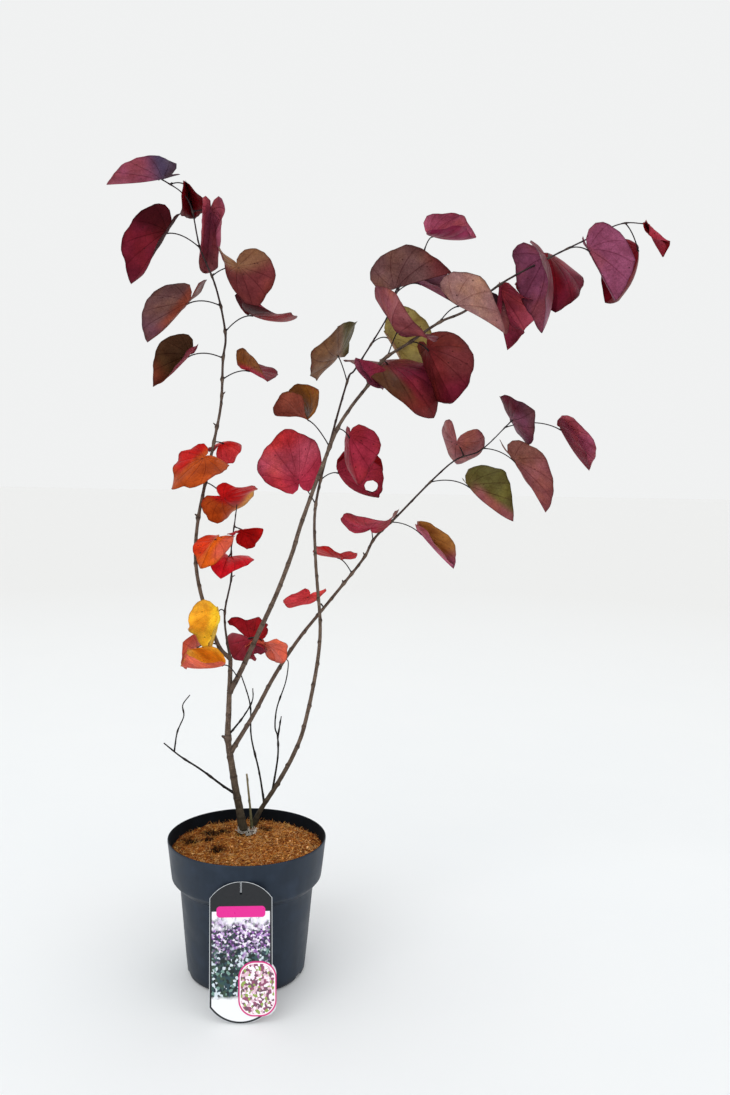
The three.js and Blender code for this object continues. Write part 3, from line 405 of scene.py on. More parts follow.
# The sprays of leaves, each named for the solid that it replaces. A leaf leaves its limb at
# a share of the limb's length. Its stalk ends that many millimetres from there, and its blade
# reaches on to its tip. Angles are degrees: the blade is turned about its midrib from facing
# the front, its halves are folded up, and it curls across, bows along and twists. Its tints
# are those of its two faces, of the middle and the two halves of the face that shows most,
# and of its tip and its base.
sprays = {
    "leaves_left_middle": {
        "limb": "leader", "slot": "leaf_scarlet",
        "leaves": [
            {"at": 0.38, "stalk": (30, -31, -21), "blade": (34, 56, 4),
             "turn": -60, "folds": (-20, -10), "curl": 55, "bow": 60,
             "ragged": 1.8, "top": "fire", "far": "rust", "tip": "gold"},
            {"at": 0.42, "stalk": (-5, -22, 7), "blade": (-46, -17, -45),
             "turn": -10, "folds": (25, -25), "curl": -15, "bow": 60, "twist": 35,
             "ragged": 1.8, "top": "rust", "far": "fire", "tip": "rust"},
            {"at": 0.46, "stalk": (8, 16, -4), "blade": (26, 44, -1),
             "turn": 60, "folds": (-20, -20), "curl": -75, "bow": 50,
             "top": "fire", "far": "poppy"},
        ],
    },
    "leaves_left_top": {
        "limb": "leader", "slot": "leaf_wine",
        "leaves": [
            {"at": 0.58, "stalk": (34, 19, 14), "blade": (33, -47, -18),
             "turn": 100, "folds": (45, 25), "curl": 5, "bow": 10, "twist": -10,
             "under": "ruby", "far": "bronze"},
            {"at": 0.62, "stalk": (-51, 19, 5), "blade": (-51, -14, -50),
             "turn": -25, "folds": (50, 50), "curl": 25, "bow": -25,
             "top": "umber", "under": "burgundy", "tip": "russet"},
            {"at": 0.67, "stalk": (38, -27, 22), "blade": (65, 47, -1),
             "turn": -95, "folds": (-5, -35), "curl": -10, "bow": 40, "twist": -15,
             "top": "blood", "under": "burgundy", "base": "darkClaret", "tip": "blood"},
            {"at": 0.72, "stalk": (-42, -24, 2), "blade": (-50, -44, -62),
             "turn": -75, "folds": (5, 50), "curl": -5, "bow": -15,
             "top": "cocoa", "under": "russet", "tip": "plum", "mid": "russet"},
            {"at": 0.78, "stalk": (39, -19, 12), "blade": (26, -33, -65),
             "turn": 40, "folds": (5, 0), "curl": 65, "bow": 15,
             "top": "cinder", "base": "khaki"},
            {"at": 0.84, "stalk": (-43, -23, 19), "blade": (-49, -6, -79),
             "turn": -50, "folds": (15, 20), "curl": 25,
             # its dark base patch is painted shade on the curled-in upper face of its lobes
             "top": "claret", "under": "darkClaret", "tip": "claret", "base": "darkClaret"},
            {"at": 0.91, "stalk": (25, 7, 4), "blade": (-14, 34, -87),
             "turn": 0, "folds": (25, 55), "curl": 85, "bow": -25,
             "top": "thistle", "far": "rose", "tip": "rosewood"},
            {"at": 0.98, "stalk": (21, 12, 4), "blade": (6, 52, -40),
             "turn": 5, "folds": (80, 85), "curl": -35, "bow": -25, "twist": 10,
             "top": "garnet"},
            {"at": 1, "stalk": (4, -13, -3), "blade": (-79, -9, -9),
             "turn": 100, "folds": (-10, -40), "curl": 5, "bow": 15,
             "top": "thistle", "under": "heather", "base": "duskPlum"},
        ],
    },
    "leaves_left_low": {
        "limb": "leader", "slot": "leaf_rose",
        "spur": (-4, 5, 0),
        "leaves": [
            {"at": 0.04, "stalk": (-39, 37, -16), "blade": (-14, -47, 21),
             "turn": -30, "folds": (5, 5), "curl": -10, "bow": 45, "twist": 10,
             "top": "coral"},
        ],
    },
    "leaves_inner": {
        "limb": "inner", "slot": "leaf_orange",
        "leaves": [
            {"at": 0.31, "stalk": (-5, -39, 8), "blade": (-25, 26, -64),
             "turn": -35, "folds": (25, 45), "curl": 45, "bow": -35,
             "ragged": 1.6, "top": "lemon", "far": "amber", "tip": "lemon"},
            {"at": 0.69, "stalk": (-4, 6, -6), "blade": (-5, -54, -27),
             "turn": -5, "folds": (20, 35), "curl": -30, "bow": 60,
             "top": "scarlet"},
            {"at": 0.76, "stalk": (-18, -30, 9), "blade": (-17, -27, -43),
             "turn": -30, "folds": (-25, -40), "curl": 65, "bow": 50,
             "top": "orange", "near": "salmon", "far": "flame", "tip": "orange"},
            {"at": 0.86, "stalk": (9, 5, -7), "blade": (35, -30, 5),
             "turn": -50, "folds": (25, 30), "curl": 35, "bow": -35,
             "top": "fire"},
        ],
    },
    "leaves_low": {
        "limb": "right_bough", "slot": "leaf_orange",
        "spur": (-1, -5, 1),
        "leaves": [
            {"at": 0.03, "stalk": (-15, -54, 29), "blade": (-74, 50, -13),
             "turn": -40, "folds": (50, 50), "curl": 70, "bow": -50, "twist": 10,
             "top": "amber", "under": "coral"},
        ],
    },
    "leaves_right_middle": {
        "limb": "right_bough", "slot": "leaf_wine",
        "leaves": [
            {"at": 0.42, "stalk": (-31, -17, 38), "blade": (-13, 81, 21),
             "turn": -15, "folds": (55, 55), "curl": 25, "bow": -35, "twist": -85,
             "top": "bronze", "under": "russet", "tip": "brick"},
            {"at": 0.45, "stalk": (17, 14, -9), "blade": (17, -1, -73),
             "turn": -25, "folds": (-35, -40), "curl": -25, "bow": 60,
             "top": "ruby"},
            {"at": 0.55, "stalk": (9, -22, 7), "blade": (-36, -50, 6),
             "turn": 60, "folds": (50, 75), "curl": 60, "bow": -20,
             "top": "thistle", "under": "burgundy"},
            {"at": 0.57, "stalk": (5, 19, -3), "blade": (70, -28, -80),
             "turn": 30, "folds": (-20, 30), "curl": -5, "bow": 75,
             "top": "burgundy", "tip": "oxblood", "base": "cinder", "far": "umber"},
            {"at": 0.58, "stalk": (14, -13, 31), "blade": (-1, -92, 37),
             "turn": -120, "folds": (45, 0), "bow": -50, "twist": -25,
             "under": "heather", "far": "heather", "tip": "rosewood"},
            {"at": 0.62, "stalk": (24, 3, -9), "blade": (36, -49, -79),
             "turn": -25, "folds": (-35, -40), "curl": -25, "bow": 15,
             "top": "oxblood", "near": "cinder", "tip": "claret"},
        ],
    },
    "leaves_right_tip": {
        "limb": "right_bough", "slot": "leaf_wine",
        "leaves": [
            {"at": 0.67, "stalk": (22, -2, 24), "blade": (70, -34, -43),
             "turn": 105, "folds": (55, 25), "curl": 20, "bow": 10, "twist": 10,
             "top": "soot", "under": "ash", "tip": "rosewood"},
            {"at": 0.77, "stalk": (6, 38, 1), "blade": (20, 52, -87),
             "turn": 10, "folds": (55, 80), "curl": -15, "bow": -50, "twist": -60,
             "top": "rose", "under": "burgundy", "far": "burgundy"},
            {"at": 0.84, "stalk": (1, -19, 4), "blade": (-6, -2, -105),
             "turn": 105, "folds": (-30, -40), "curl": 20, "bow": 70,
             "top": "claret", "under": "mallow", "tip": "mallow"},
            {"at": 0.85, "stalk": (6, 45, 10), "blade": (7, -39, -87),
             "turn": 15, "folds": (-15, -40), "curl": -20, "bow": 65,
             "top": "garnet", "near": "burgundy", "tip": "claret"},
            {"at": 0.88, "stalk": (26, -12, -2), "blade": (35, -32, -75),
             "turn": 130, "folds": (45, 40), "curl": 30,
             "under": "mallow", "tip": "mallow"},
            {"at": 0.97, "stalk": (27, 30, -30), "blade": (-51, -19, -79),
             "turn": 35, "folds": (-20, -35), "curl": -70, "bow": 75,
             "top": "garnet"},
            {"at": 1, "stalk": (0, 2, -1), "blade": (33, 25, -42),
             "turn": -15, "folds": (45, 85), "curl": 105, "bow": -50, "twist": -55,
             "top": "blood", "under": "ruby"},
        ],
    },
    "leaves_fork": {
        "limb": "right_bough", "slot": "leaf_rose",
        "spur": (1, 10, 0),
        "leaves": [
            {"at": 0.1, "stalk": (-11, 27, -7), "blade": (-35, 46, 21),
             "turn": -145, "folds": (70, 65), "curl": -20, "bow": -15, "twist": 10,
             "ragged": 2.4, "under": "blood"},
            {"at": 0.1, "stalk": (-10, 17, -5), "blade": (-36, 58, -2),
             "turn": -65, "folds": (-40, -40), "curl": -70, "bow": 40, "twist": 30,
             "ragged": 2.4, "top": "ruby"},
            {"at": 0.1, "stalk": (11, 17, -9), "blade": (16, 37, -37),
             "turn": -60, "folds": (-15, 45), "curl": -40, "bow": -30, "twist": 30,
             "ragged": 2.2, "top": "coral"},
        ],
    },
    "leaves_back_side": {
        "limb": "back_bough", "slot": "leaf_rose",
        "spur": (-2, -4, 3),
        "leaves": [
            {"at": 0.38, "stalk": (-23, -18, 20), "blade": (-27, -51, -9),
             "turn": 95, "folds": (-5, 0), "curl": -15, "bow": 25,
             "top": "poppy", "under": "poppy"},
        ],
    },
    "leaves_back_low": {
        "limb": "back_bough", "slot": "leaf_rose",
        "leaves": [
            {"at": 0.48, "stalk": (-19, -24, 27), "blade": (-40, 44, -1),
             "turn": 60, "folds": (-25, 10), "curl": -35,
             "top": "fire", "near": "poppy"},
            {"at": 0.57, "stalk": (-4, -22, 21), "blade": (19, 83, 7),
             "turn": -80, "folds": (25, -20), "curl": -60, "bow": -15,
             "top": "ruby", "under": "crimson", "near": "russet"},
            {"at": 0.63, "stalk": (46, -15, -15), "blade": (58, 23, -62),
             "turn": 30, "folds": (85, 70), "bow": -15,
             "top": "ochre", "under": "thistle", "mid": "pink", "tip": "pink"},
        ],
    },
    "leaves_back_tip": {
        "limb": "back_bough", "slot": "leaf_wine",
        "leaves": [
            {"at": 0.76, "stalk": (59, -22, -3), "blade": (72, -33, -56),
             "turn": -40, "folds": (-40, -40), "curl": -45, "bow": 40, "twist": 20,
             "top": "olive", "under": "heather", "mid": "rosewood", "base": "olive"},
            {"at": 0.86, "stalk": (-13, -16, 23), "blade": (7, 74, -39),
             "turn": -30, "folds": (-15, -20), "curl": -55, "bow": 40,
             "top": "rosewood"},
            {"at": 0.91, "stalk": (48, -18, -18), "blade": (57, 12, -87),
             "turn": 120, "folds": (30, 0), "curl": 10, "bow": 10,
             "top": "moss", "under": "rosewood", "tip": "heather", "base": "khaki"},
            {"at": 0.98, "stalk": (87, -11, 1), "blade": (57, 29, -72),
             "turn": 25, "folds": (80, 65), "curl": 15, "bow": -25,
             "top": "pink", "under": "burgundy"},
            {"at": 1, "stalk": (1, -4, 2), "blade": (27, -65, 15),
             "turn": -15, "folds": (-10, 15), "curl": -10, "bow": 45,
             "top": "mallow", "under": "soot", "near": "claret", "tip": "plum"},
        ],
    },
    "leaves_second_low": {
        "limb": "second_stem", "slot": "leaf_rose",
        "leaves": [
            {"at": 0.56, "stalk": (-27, 10, 33), "blade": (-26, 44, 82),
             "turn": -175, "folds": (-35, -40), "curl": 5, "bow": 25, "twist": -15,
             "under": "rose", "tip": "poppy", "base": "crimson"},
            {"at": 0.6, "stalk": (25, 16, 13), "blade": (64, 71, -44),
             "hole": {"from": (51, 26, -23), "radius": 10.5},
             "turn": 75, "folds": (80, 50), "curl": 35, "bow": -50, "twist": 25,
             "top": "blood", "under": "ruby", "tip": "garnet"},
        ],
    },
    "leaves_second_top": {
        "limb": "second_stem", "slot": "leaf_wine",
        "leaves": [
            {"at": 0.76, "stalk": (-15, 10, 37), "blade": (0, -74, 43),
             "turn": -15, "folds": (30, -40), "curl": -10, "bow": 30,
             "ragged": 2.4, "top": "khaki", "far": "olive"},
            {"at": 0.83, "stalk": (24, 30, 14), "blade": (57, 69, -43),
             "turn": 50, "folds": (60, 20), "curl": 10, "bow": -15, "twist": 30,
             "top": "straw"},
            {"at": 0.91, "stalk": (1, 4, 14), "blade": (85, -22, 21),
             "turn": 125, "folds": (45, 45), "curl": 10, "bow": 10, "twist": 10,
             "under": "cocoa", "tip": "cinder"},
            {"at": 0.92, "stalk": (32, 36, 18), "blade": (65, 23, -32),
             "turn": 60, "folds": (35, 35), "bow": 10,
             "top": "plum", "under": "mallow"},
            {"at": 1, "stalk": (10, 22, 24), "blade": (74, 37, 7),
             "turn": -155, "folds": (-40, -40), "curl": -75, "bow": 40,
             "top": "raspberry", "under": "pink"},
        ],
    },

}

blade = {
    # the edge's distance from the stalk by the angle from the tip, as a share of the length
    "angles": (0, 5, 14, 24, 40, 58, 75, 94, 112, 132, 150, 166, 180),
    "edges": (0.965, 0.935, 0.87, 0.81, 0.755, 0.7, 0.63, 0.575, 0.52, 0.46, 0.38, 0.2, 0.03),
    "half": 0.61,
    "veins": (0, 27, 56, 90, 128),
    "beside": (1.1, 2.6),  # degrees from a vein to its flanks and to the flat beside it
    "webReach": 15,  # degrees from a vein to the height of the web
    # degrees of the columns between the veins
    "between": (8, 14, 20, 35, 42, 49, 64, 72, 81, 99, 109, 119, 137, 148, 159, 169, 176),
    # shares of the way from the stalk to the edge
    "reaches": (0.04, 0.1, 0.19, 0.3, 0.42, 0.54, 0.66, 0.77, 0.86, 0.93, 0.98),
    "sweep": 13,  # degrees that a vein bends forward as it runs out
    "thickness": 0.45, "pole": 0.22,
    "apart": 0.6,  # a half that is folded right over stays this far from the other
    "groove": 0.3, "puff": 1.1, "ruffle": 2.1, "swell": 0.8,
    "mapStep": 300,  # from one leaf to the next on the flat map of their patterns
}


def bladeColumns():
    # Columns of a blade's grid, in degrees from the tip, close together beside each vein,
    # with how much of a vein and how much of the puffed web between veins each one is
    flanks = [v + d for v in blade["veins"] for b in blade["beside"] for d in (-b, 0, b)]
    half = np.unique([a for a in (*flanks, *blade["between"]) if a >= 0])
    half = half[half < 180]
    turns = np.concatenate([half, [180], -half[:0:-1]])
    gap = np.abs(np.abs(turns)[:, None] - np.array(blade["veins"]))
    vein = 1 - np.clip(gap.min(1) / blade["beside"][1], 0, 1)
    web = np.sin(np.pi / 2 * np.clip(gap.min(1) / blade["webReach"], 0, 1))
    return turns, vein, web


def bladeAxes(leaf):
    # Rows: along the midrib, across it, and out of the upper face
    along = np.array(leaf["blade"], float)
    along /= np.linalg.norm(along)
    front = np.array([0, -1, 0]) + along * along[1]
    front /= np.linalg.norm(front)
    turn = np.radians(leaf["turn"])
    up = np.cos(turn) * front + np.sin(turn) * np.cross(front, along)
    return np.stack([along, np.cross(up, along), up])


def bladeBow(leaf):
    # In radians, and never quite 0, because the arc's radius is the length over the bow
    return np.radians(leaf.get("bow", 0)) or 1e-6


def bladePoints(leaf, length, x, y, wave, half):
    # Places a flat blade's points: each half is folded up about the midrib and curled, then
    # the blade is twisted about its midrib and bowed along it. "wave" lifts the sheet out of
    # its plane, and "half" is half of its thickness, with the sign of the face.
    fold = np.radians(np.where(y > 0, leaf["folds"][0], leaf["folds"][1]))
    curl = np.radians(leaf.get("curl", 0)) / (blade["half"] * length) + 1e-7
    slope = np.where(y == 0, 0, fold + curl * np.abs(y))
    flat = (np.sin(slope) - np.sin(fold)) / curl
    raised = np.where(y == 0, 0, (np.cos(fold) - np.cos(slope)) / curl)
    apart = np.minimum(blade["apart"], 0.3 * np.abs(y))
    flat = np.maximum(flat - wave * np.sin(slope), apart)
    across = np.sign(y) * np.maximum(flat - half * np.sin(slope), 0.02)
    rise = raised + (wave + half) * np.cos(slope)
    y, z = rotated(across, rise, np.radians(leaf.get("twist", 0)) * x / length)
    bow = bladeBow(leaf)
    bent = bow * x / length
    x = length * np.sin(bent) / bow + z * np.sin(bent)
    z = length * (np.cos(bent) - 1) / bow + z * np.cos(bent)
    x, z = rotated(x, z, bow / 2)
    return np.stack([x, y, z], -1)


patchKeys = ("top", "under", "mid", "near", "far", "tip", "base")
dullUpper, dullLower = linear("#50101c"), linear("#9a4454")


def leafTints(leaf, face, x, y, reach):
    # A face's colours at flat places x and y, given as shares of the blade's length: its own
    # tone, or where it has none the other face's mixed with a dull red, and its patches
    tones = {key: linear(leafTones[leaf[key]]) for key in patchKeys if key in leaf}
    if face > 0:
        tint = tones["top"] if "top" in leaf else 0.55 * tones["under"] + 0.45 * dullUpper
    else:
        tint = tones["under"] if "under" in leaf else 0.6 * tones["top"] + 0.4 * dullLower
    tint = np.ones((*x.shape, 1)) * tint
    strength = 0.95 if (face > 0) == ("top" in leaf) else 0.5
    patches = {
        "mid": smooth(0.2, 0.08, np.abs(y)),
        "near": smooth(0.05, 0.22, y),
        "far": smooth(0.05, 0.22, -y),
        "tip": smooth(0.45, 0.8, x),
        "base": smooth(0.3, -0.05, x),
    }
    for key, share in patches.items():
        if key in leaf:
            share = strength * share[..., None]
            tint = tint * (1 - share) + tones[key] * share
    rim = 0.35 * smooth(0.9, 1.0, reach)[..., None] * np.array([1, 1, 1, 0])
    return tint * (1 - rim)


def leafParts(leaf, root, base, index):
    # One leaf: the blade as a thin closed shell with veins, puffed webs and a ruffled edge,
    # and its stalk, which is thicker where it meets the twig and the blade
    bow = bladeBow(leaf)
    length = np.linalg.norm(leaf["blade"]) * (bow / 2) / np.sin(bow / 2)
    axes = bladeAxes(leaf)
    turns, vein, web = bladeColumns()
    # rings run out over the upper face, round the edge and back in under the lower one
    steps = len(blade["reaches"])
    reach = np.array([*blade["reaches"], 1, *blade["reaches"][::-1]])[:, None]
    face = np.repeat([1, 0, -1], [steps, 1, steps])[:, None]
    # the veins bend forward towards the tip as they run out
    sweep = blade["sweep"] * np.sin(np.radians(np.abs(turns))) * reach**1.5
    angle = np.radians(np.sign(turns) * (np.abs(turns) - sweep))
    edge = np.interp(np.degrees(np.abs(angle)), blade["angles"], blade["edges"])
    uneven = (0.014 * np.sin(5 * angle + 1.3 * index) + 0.012 * np.sin(9 * angle + index)
              + 0.009 * np.sin(17 * angle + 2.1 * index))
    edge = edge * (1 + uneven * smooth(3, 30, np.abs(turns)) * leaf.get("ragged", 1))
    away = edge * reach
    x, y = away * np.cos(angle), away * np.sin(angle) * (np.abs(turns) % 180 > 0)
    shift = index * 1.7
    wave = blade["puff"] * web * reach * (1 - reach**3) - blade["groove"] * vein * (1 - reach**2)
    wave = wave + blade["ruffle"] * leaf.get("ragged", 1) * reach**5 * (
        np.sin(3 * angle + shift) + 0.6 * np.sin(7 * angle - 2 * shift))
    wave = wave + blade["swell"] * reach * np.sin(x * 9 + shift) * np.cos(y * 11 + shift)
    half = face * blade["thickness"] / 2 * (1 - reach**8)
    rings = bladePoints(leaf, length, x * length, y * length, wave, half)
    reach = reach + 0 * x
    tint = np.where(face[..., None] >= 0, leafTints(leaf, 1, x, y, reach),
                    leafTints(leaf, -1, x, y, reach))
    flat = np.stack([x * length, y * length, 0 * x + blade["mapStep"] * index], -1) * metre
    zero = np.zeros(())
    poles = [bladePoints(leaf, length, zero, zero, zero, zero + side * blade["pole"]) @ axes + base
             for side in (1, -1)]
    part = skin(rings @ axes + base, *poles, tint=tint, flat=flat, vein=vein * (1 - 0.6 * reach))
    columns = len(turns)
    part["slots"] = twoSlots(np.arange(2 * steps) >= steps, columns)
    if "hole" in leaf:
        punch(part, columns, base + np.array(leaf["hole"]["from"]), leaf["hole"]["radius"])
    rib = bladePoints(leaf, length, zero + stalk["sink"], zero, zero, zero)
    return part, stalkPart(root, base, rib @ axes + base)


def punch(part, columns, centre, radius):
    # A round hole that runs from front to back. Faces that lie wholly in it go, points left
    # in it move out to its edge, and a wall joins the two faces of the sheet there.
    points, quads = part["points"], part["quads"]
    ring, column = np.divmod(np.arange(len(points) - 2), columns)
    partner = np.arange(len(points))
    partner[1:-1] = 1 + (ring[-1] - ring) * columns + column
    out = ((points + points[partner]) / 2 - centre)[:, [0, 2]]
    away = np.linalg.norm(out, axis=1)
    inside = away < radius
    gone = inside[quads].all(1)
    count = len(quads)
    cut = quads[gone & (part["slots"][:count] == 0)]
    edges = np.concatenate([cut[:, [i, (i + 1) % 4]] for i in range(4)])
    there, back = edges @ [len(points), 1], edges @ [1, len(points)]
    rim = edges[~np.isin(there, back)]
    wall = np.column_stack([rim, partner[rim[:, 1]], partner[rim[:, 0]]])
    push = out[inside] * (radius / away[inside] - 1)[:, None]
    points[inside] += np.column_stack([push[:, 0], 0 * push[:, 0], push[:, 1]])
    part["slots"] = np.concatenate(
        [part["slots"][:count][~gone], np.zeros(len(wall), int), part["slots"][count:]])
    quads = np.vstack([quads[~gone], wall])
    used, renumbered = np.unique(np.concatenate([quads.ravel(), part["tris"].ravel()]),
                                 return_inverse=True)
    part["quads"] = renumbered[: quads.size].reshape(-1, 4)
    part["tris"] = renumbered[quads.size :].reshape(-1, 3)
    part["points"] = points[used]
    part["attributes"] = {key: value[used] for key, value in part["attributes"].items()}


stalk = {
    "diameter": 1.75, "sides": 8, "steps": 18, "rise": 0.2,
    "sink": 5,  # how far it runs on under the blade
    "knee": 0.45, "rootKnee": 3.5, "bladeKnee": 5,  # how much thicker, and how far that reaches
}


def stalkPart(root, base, end):
    # A bar along a quadratic Bezier curve that arches up a little between twig and blade
    raised = root + 0.6 * (base - root)
    raised[2] += stalk["rise"] * np.linalg.norm(base - root)
    t = np.linspace(0, 1, stalk["steps"])[:, None]
    points = (1 - t) ** 2 * root + 2 * t * (1 - t) * raised + t**2 * end
    length = np.linalg.norm(base - root)
    knees = np.exp(-((t * length / stalk["rootKnee"]) ** 2))
    knees = knees + np.exp(-(((1 - t) * length / stalk["bladeKnee"]) ** 2))
    radii = stalk["diameter"] / 2 * (1 + stalk["knee"] * knees)
    normal = np.cross(raised - root, end - root)
    normal /= np.linalg.norm(normal)
    return tube(points, radii, stalk["sides"], normal, age=0.0, scar=0.0)


def leafFace(name, veinShade, net, roughness, relief, specular):
    # A living leaf's skin: its own tint, with slow drifts of depth and warmth, a paler net of
    # fine veins in cells of 4.5 mm, darker branching and palmate veins, and specks of decay
    material, tree, shader = addMaterial(name, Specular_IOR_Level=specular,
                                         Specular_Tint=linear("#c45c68"))
    tint = addNode(tree, "Attribute", attribute_name="tint")
    flat = addNode(tree, "Attribute", attribute_name="flat").outputs["Vector"]
    veins = addNode(tree, "Attribute", attribute_name="vein").outputs["Fac"]
    drift = addNode(tree, "TexNoise", {"Vector": flat, "Scale": 38, "Detail": 4, "Roughness": 0.6})
    warm = addNode(tree, "TexNoise", {"Vector": flat, "Scale": 22, "Detail": 2})
    cells = addNode(tree, "TexVoronoi", {"Vector": flat, "Scale": 1 / 0.0045},
                    feature="DISTANCE_TO_EDGE")
    branches = addNode(tree, "TexVoronoi", {"Vector": flat, "Scale": 1 / 0.013},
                       feature="DISTANCE_TO_EDGE")
    grit = addNode(tree, "TexNoise", {"Vector": flat, "Scale": 900, "Detail": 2})
    spots = addNode(tree, "TexVoronoi", {"Vector": flat, "Scale": 1 / 0.013})
    depth = layered(tree, (0.68, 0.6, 0.6, 1), (1.08, 1.08, 1.08, 1), drift, (0.38, 0.66))
    colour = addNode(tree, "Mix", {0: 1, 6: tint, 7: depth}, blend_type="MULTIPLY")
    warmth = layered(tree, (0.96, 0.97, 1.06, 1), (1.12, 1.1, 0.82, 1), warm, (0.45, 0.7))
    colour = addNode(tree, "Mix", {0: 1, 6: colour, 7: warmth}, blend_type="MULTIPLY")
    colour = layered(tree, colour, (1.7, 1.6, 1.6, 1), cells, (0, 0.09), (net, 0), "MULTIPLY")
    # a golden leaf shows no dark veins
    green = addNode(tree, "SeparateColor", {0: tint}).outputs["Green"]
    shown = addNode(tree, "MapRange", {"Value": green, "From Min": 0.12, "From Max": 0.4,
                                       "To Min": 1, "To Max": 0.12})
    share = addNode(tree, "MapRange", {"Value": branches, "From Min": 0.012, "From Max": 0.05,
                                       "To Min": 0.38, "To Max": 0})
    share = addNode(tree, "Math", {0: share, 1: shown}, operation="MULTIPLY")
    colour = addNode(tree, "Mix", {0: share, 6: colour, 7: veinShade}, blend_type="MULTIPLY")
    share = addNode(tree, "MapRange", {"Value": veins, "From Min": 0.15, "From Max": 0.6})
    share = addNode(tree, "Math", {0: share, 1: shown}, operation="MULTIPLY")
    colour = addNode(tree, "Mix", {0: share, 6: colour, 7: veinShade}, blend_type="MULTIPLY")
    colour = layered(tree, colour, "#331214", spots, (0.07, 0.13), (0.75, 0))
    share = addNode(tree, "MapRange", {"Value": grit, "From Min": 0.3, "From Max": 0.7,
                                       "To Min": 0.92, "To Max": 1.08})
    colour = addNode(tree, "Mix", {0: 1, 6: colour, 7: share}, blend_type="MULTIPLY")
    rough = addNode(tree, "MapRange", {"Value": drift, "From Min": 0.3, "From Max": 0.7,
                                       "To Min": roughness + 0.08, "To Max": roughness - 0.08})
    height = addNode(tree, "MapRange", {"Value": cells, "From Min": 0, "From Max": 0.2})
    height = addNode(tree, "Math", {0: height, 1: grit, 2: 0.6}, operation="MULTIPLY_ADD")
    bump = addNode(tree, "Bump", {"Height": height, "Strength": 0.5, "Distance": relief})
    setInputs(tree, shader, {"Base Color": colour, "Roughness": rough, "Normal": bump})
    return material


# the upper face has a waxy shine; the lower one is matt, with its veins standing out
waxyLeaf = leafFace("waxyUpperLeaf", (0.58, 0.45, 0.48, 1), 0.35, 0.42, 0.0003, 0.08)
mattLeaf = leafFace("mattLowerLeaf", (0.6, 0.47, 0.5, 1), 0.5, 0.62, -0.0004, 0.05)


def barkFinish(name, old, flecks, young, roughness):
    # Smooth young bark that darkens towards the twigs, with fibres along the limb, blotches,
    # and small pale corky specks stretched round it. The flecks are the tints of those three.
    material, tree, shader = addMaterial(name, Specular_IOR_Level=0.2)
    grain = addNode(tree, "Attribute", attribute_name="grain").outputs["Vector"]
    age = addNode(tree, "Attribute", attribute_name="age").outputs["Fac"]
    along = addNode(tree, "Mapping", {"Vector": grain, "Scale": (1, 1, 0.22)})
    fibres = addNode(tree, "TexNoise", {"Vector": along, "Scale": 620, "Detail": 5,
                                        "Roughness": 0.65})
    blotches = addNode(tree, "TexNoise", {"Vector": grain, "Scale": 70, "Detail": 3})
    around = addNode(tree, "Mapping", {"Vector": grain, "Scale": (0.6, 0.6, 1)})
    specks = addNode(tree, "TexVoronoi", {"Vector": around, "Scale": 1 / 0.0032})
    bark = layered(tree, flecks[0], old, fibres, (0.35, 0.65))
    bark = layered(tree, bark, flecks[1], blotches, (0.42, 0.72), (0, 0.7))
    bark = layered(tree, bark, flecks[2], specks, (0.12, 0.22), (0.55, 0))
    colour = addNode(tree, "Mix", {0: age, 6: young, 7: bark})
    scars = addNode(tree, "Attribute", attribute_name="scar").outputs["Fac"]
    colour = addNode(tree, "Mix", {0: scars, 6: colour, 7: (0.45, 0.42, 0.42, 1)},
                     blend_type="MULTIPLY")
    # damp and greener just above the soil
    place = addNode(tree, "TexCoord").outputs["Object"]
    high = addNode(tree, "SeparateXYZ", {0: place}).outputs["Z"]
    colour = layered(tree, colour, (0.34, 0.4, 0.3, 1), high, (0.2, 0.33), (1, 0), "MULTIPLY")
    rough = addNode(tree, "MapRange", {"Value": fibres, "From Min": 0.3, "From Max": 0.7,
                                       "To Min": roughness + 0.1, "To Max": roughness - 0.1})
    height = addNode(tree, "Math", {0: specks, 1: -0.8, 2: fibres}, operation="MULTIPLY_ADD")
    bump = addNode(tree, "Bump", {"Height": height, "Strength": 0.7, "Distance": 0.0006})
    setInputs(tree, shader, {"Base Color": colour, "Roughness": rough, "Normal": bump})
    return material


youngBark = barkFinish("youngBark", "#625144", ("#382c27", "#786658", "#988779"), "#2e2226", 0.72)
deadWood = barkFinish("dryDeadWood", "#2e2725", ("#161212", "#403733", "#5c524b"), "#171212", 0.85)
paleStub = barkFinish("peeledStub", "#94866a", ("#6c6048", "#a59678", "#b8aa8c"), "#94866a", 0.8)
leafStalk = barkFinish("glossyLeafStalk", "#20141a", ("#140c10", "#2c1c22", "#3e2c30"), "#1c1216",
                       0.5)


# the leaves, each with its stalk and a bud in its axil
joints = {name: [at for at, _ in limb.get("nubs", ())] for name, limb in limbs.items()}
leafPieces, stalks, buds, spurs = {}, [], [], []
index = 0
for spray in sprays.values():
    curve = limbCurve(limbs[spray["limb"]]["path"])
    for leaf in spray["leaves"]:
        start = placeOn(curve, leaf["at"])
        base = start + np.array(leaf["stalk"], float)
        root = start + np.array(spray.get("spur", (0, 0, 0)), float)
        if "spur" in spray:
            spurs.append(stubPart(start, stub["spurLength"] * (root - start), stub["spurRadius"]))
        else:
            joints[spray["limb"]].append(leaf["at"])
        index += 1
        part, bar = leafParts(leaf, root, base, index)
        leafPieces.setdefault(spray["slot"], []).append(part)
        stalks.append(bar)
        outward = base - root
        outward = outward / np.linalg.norm(outward) + (0, 0, stub["budRise"])
        buds.append(stubPart(root, outward * stub["budLength"], stub["budRadius"]))
print("leaves", index)

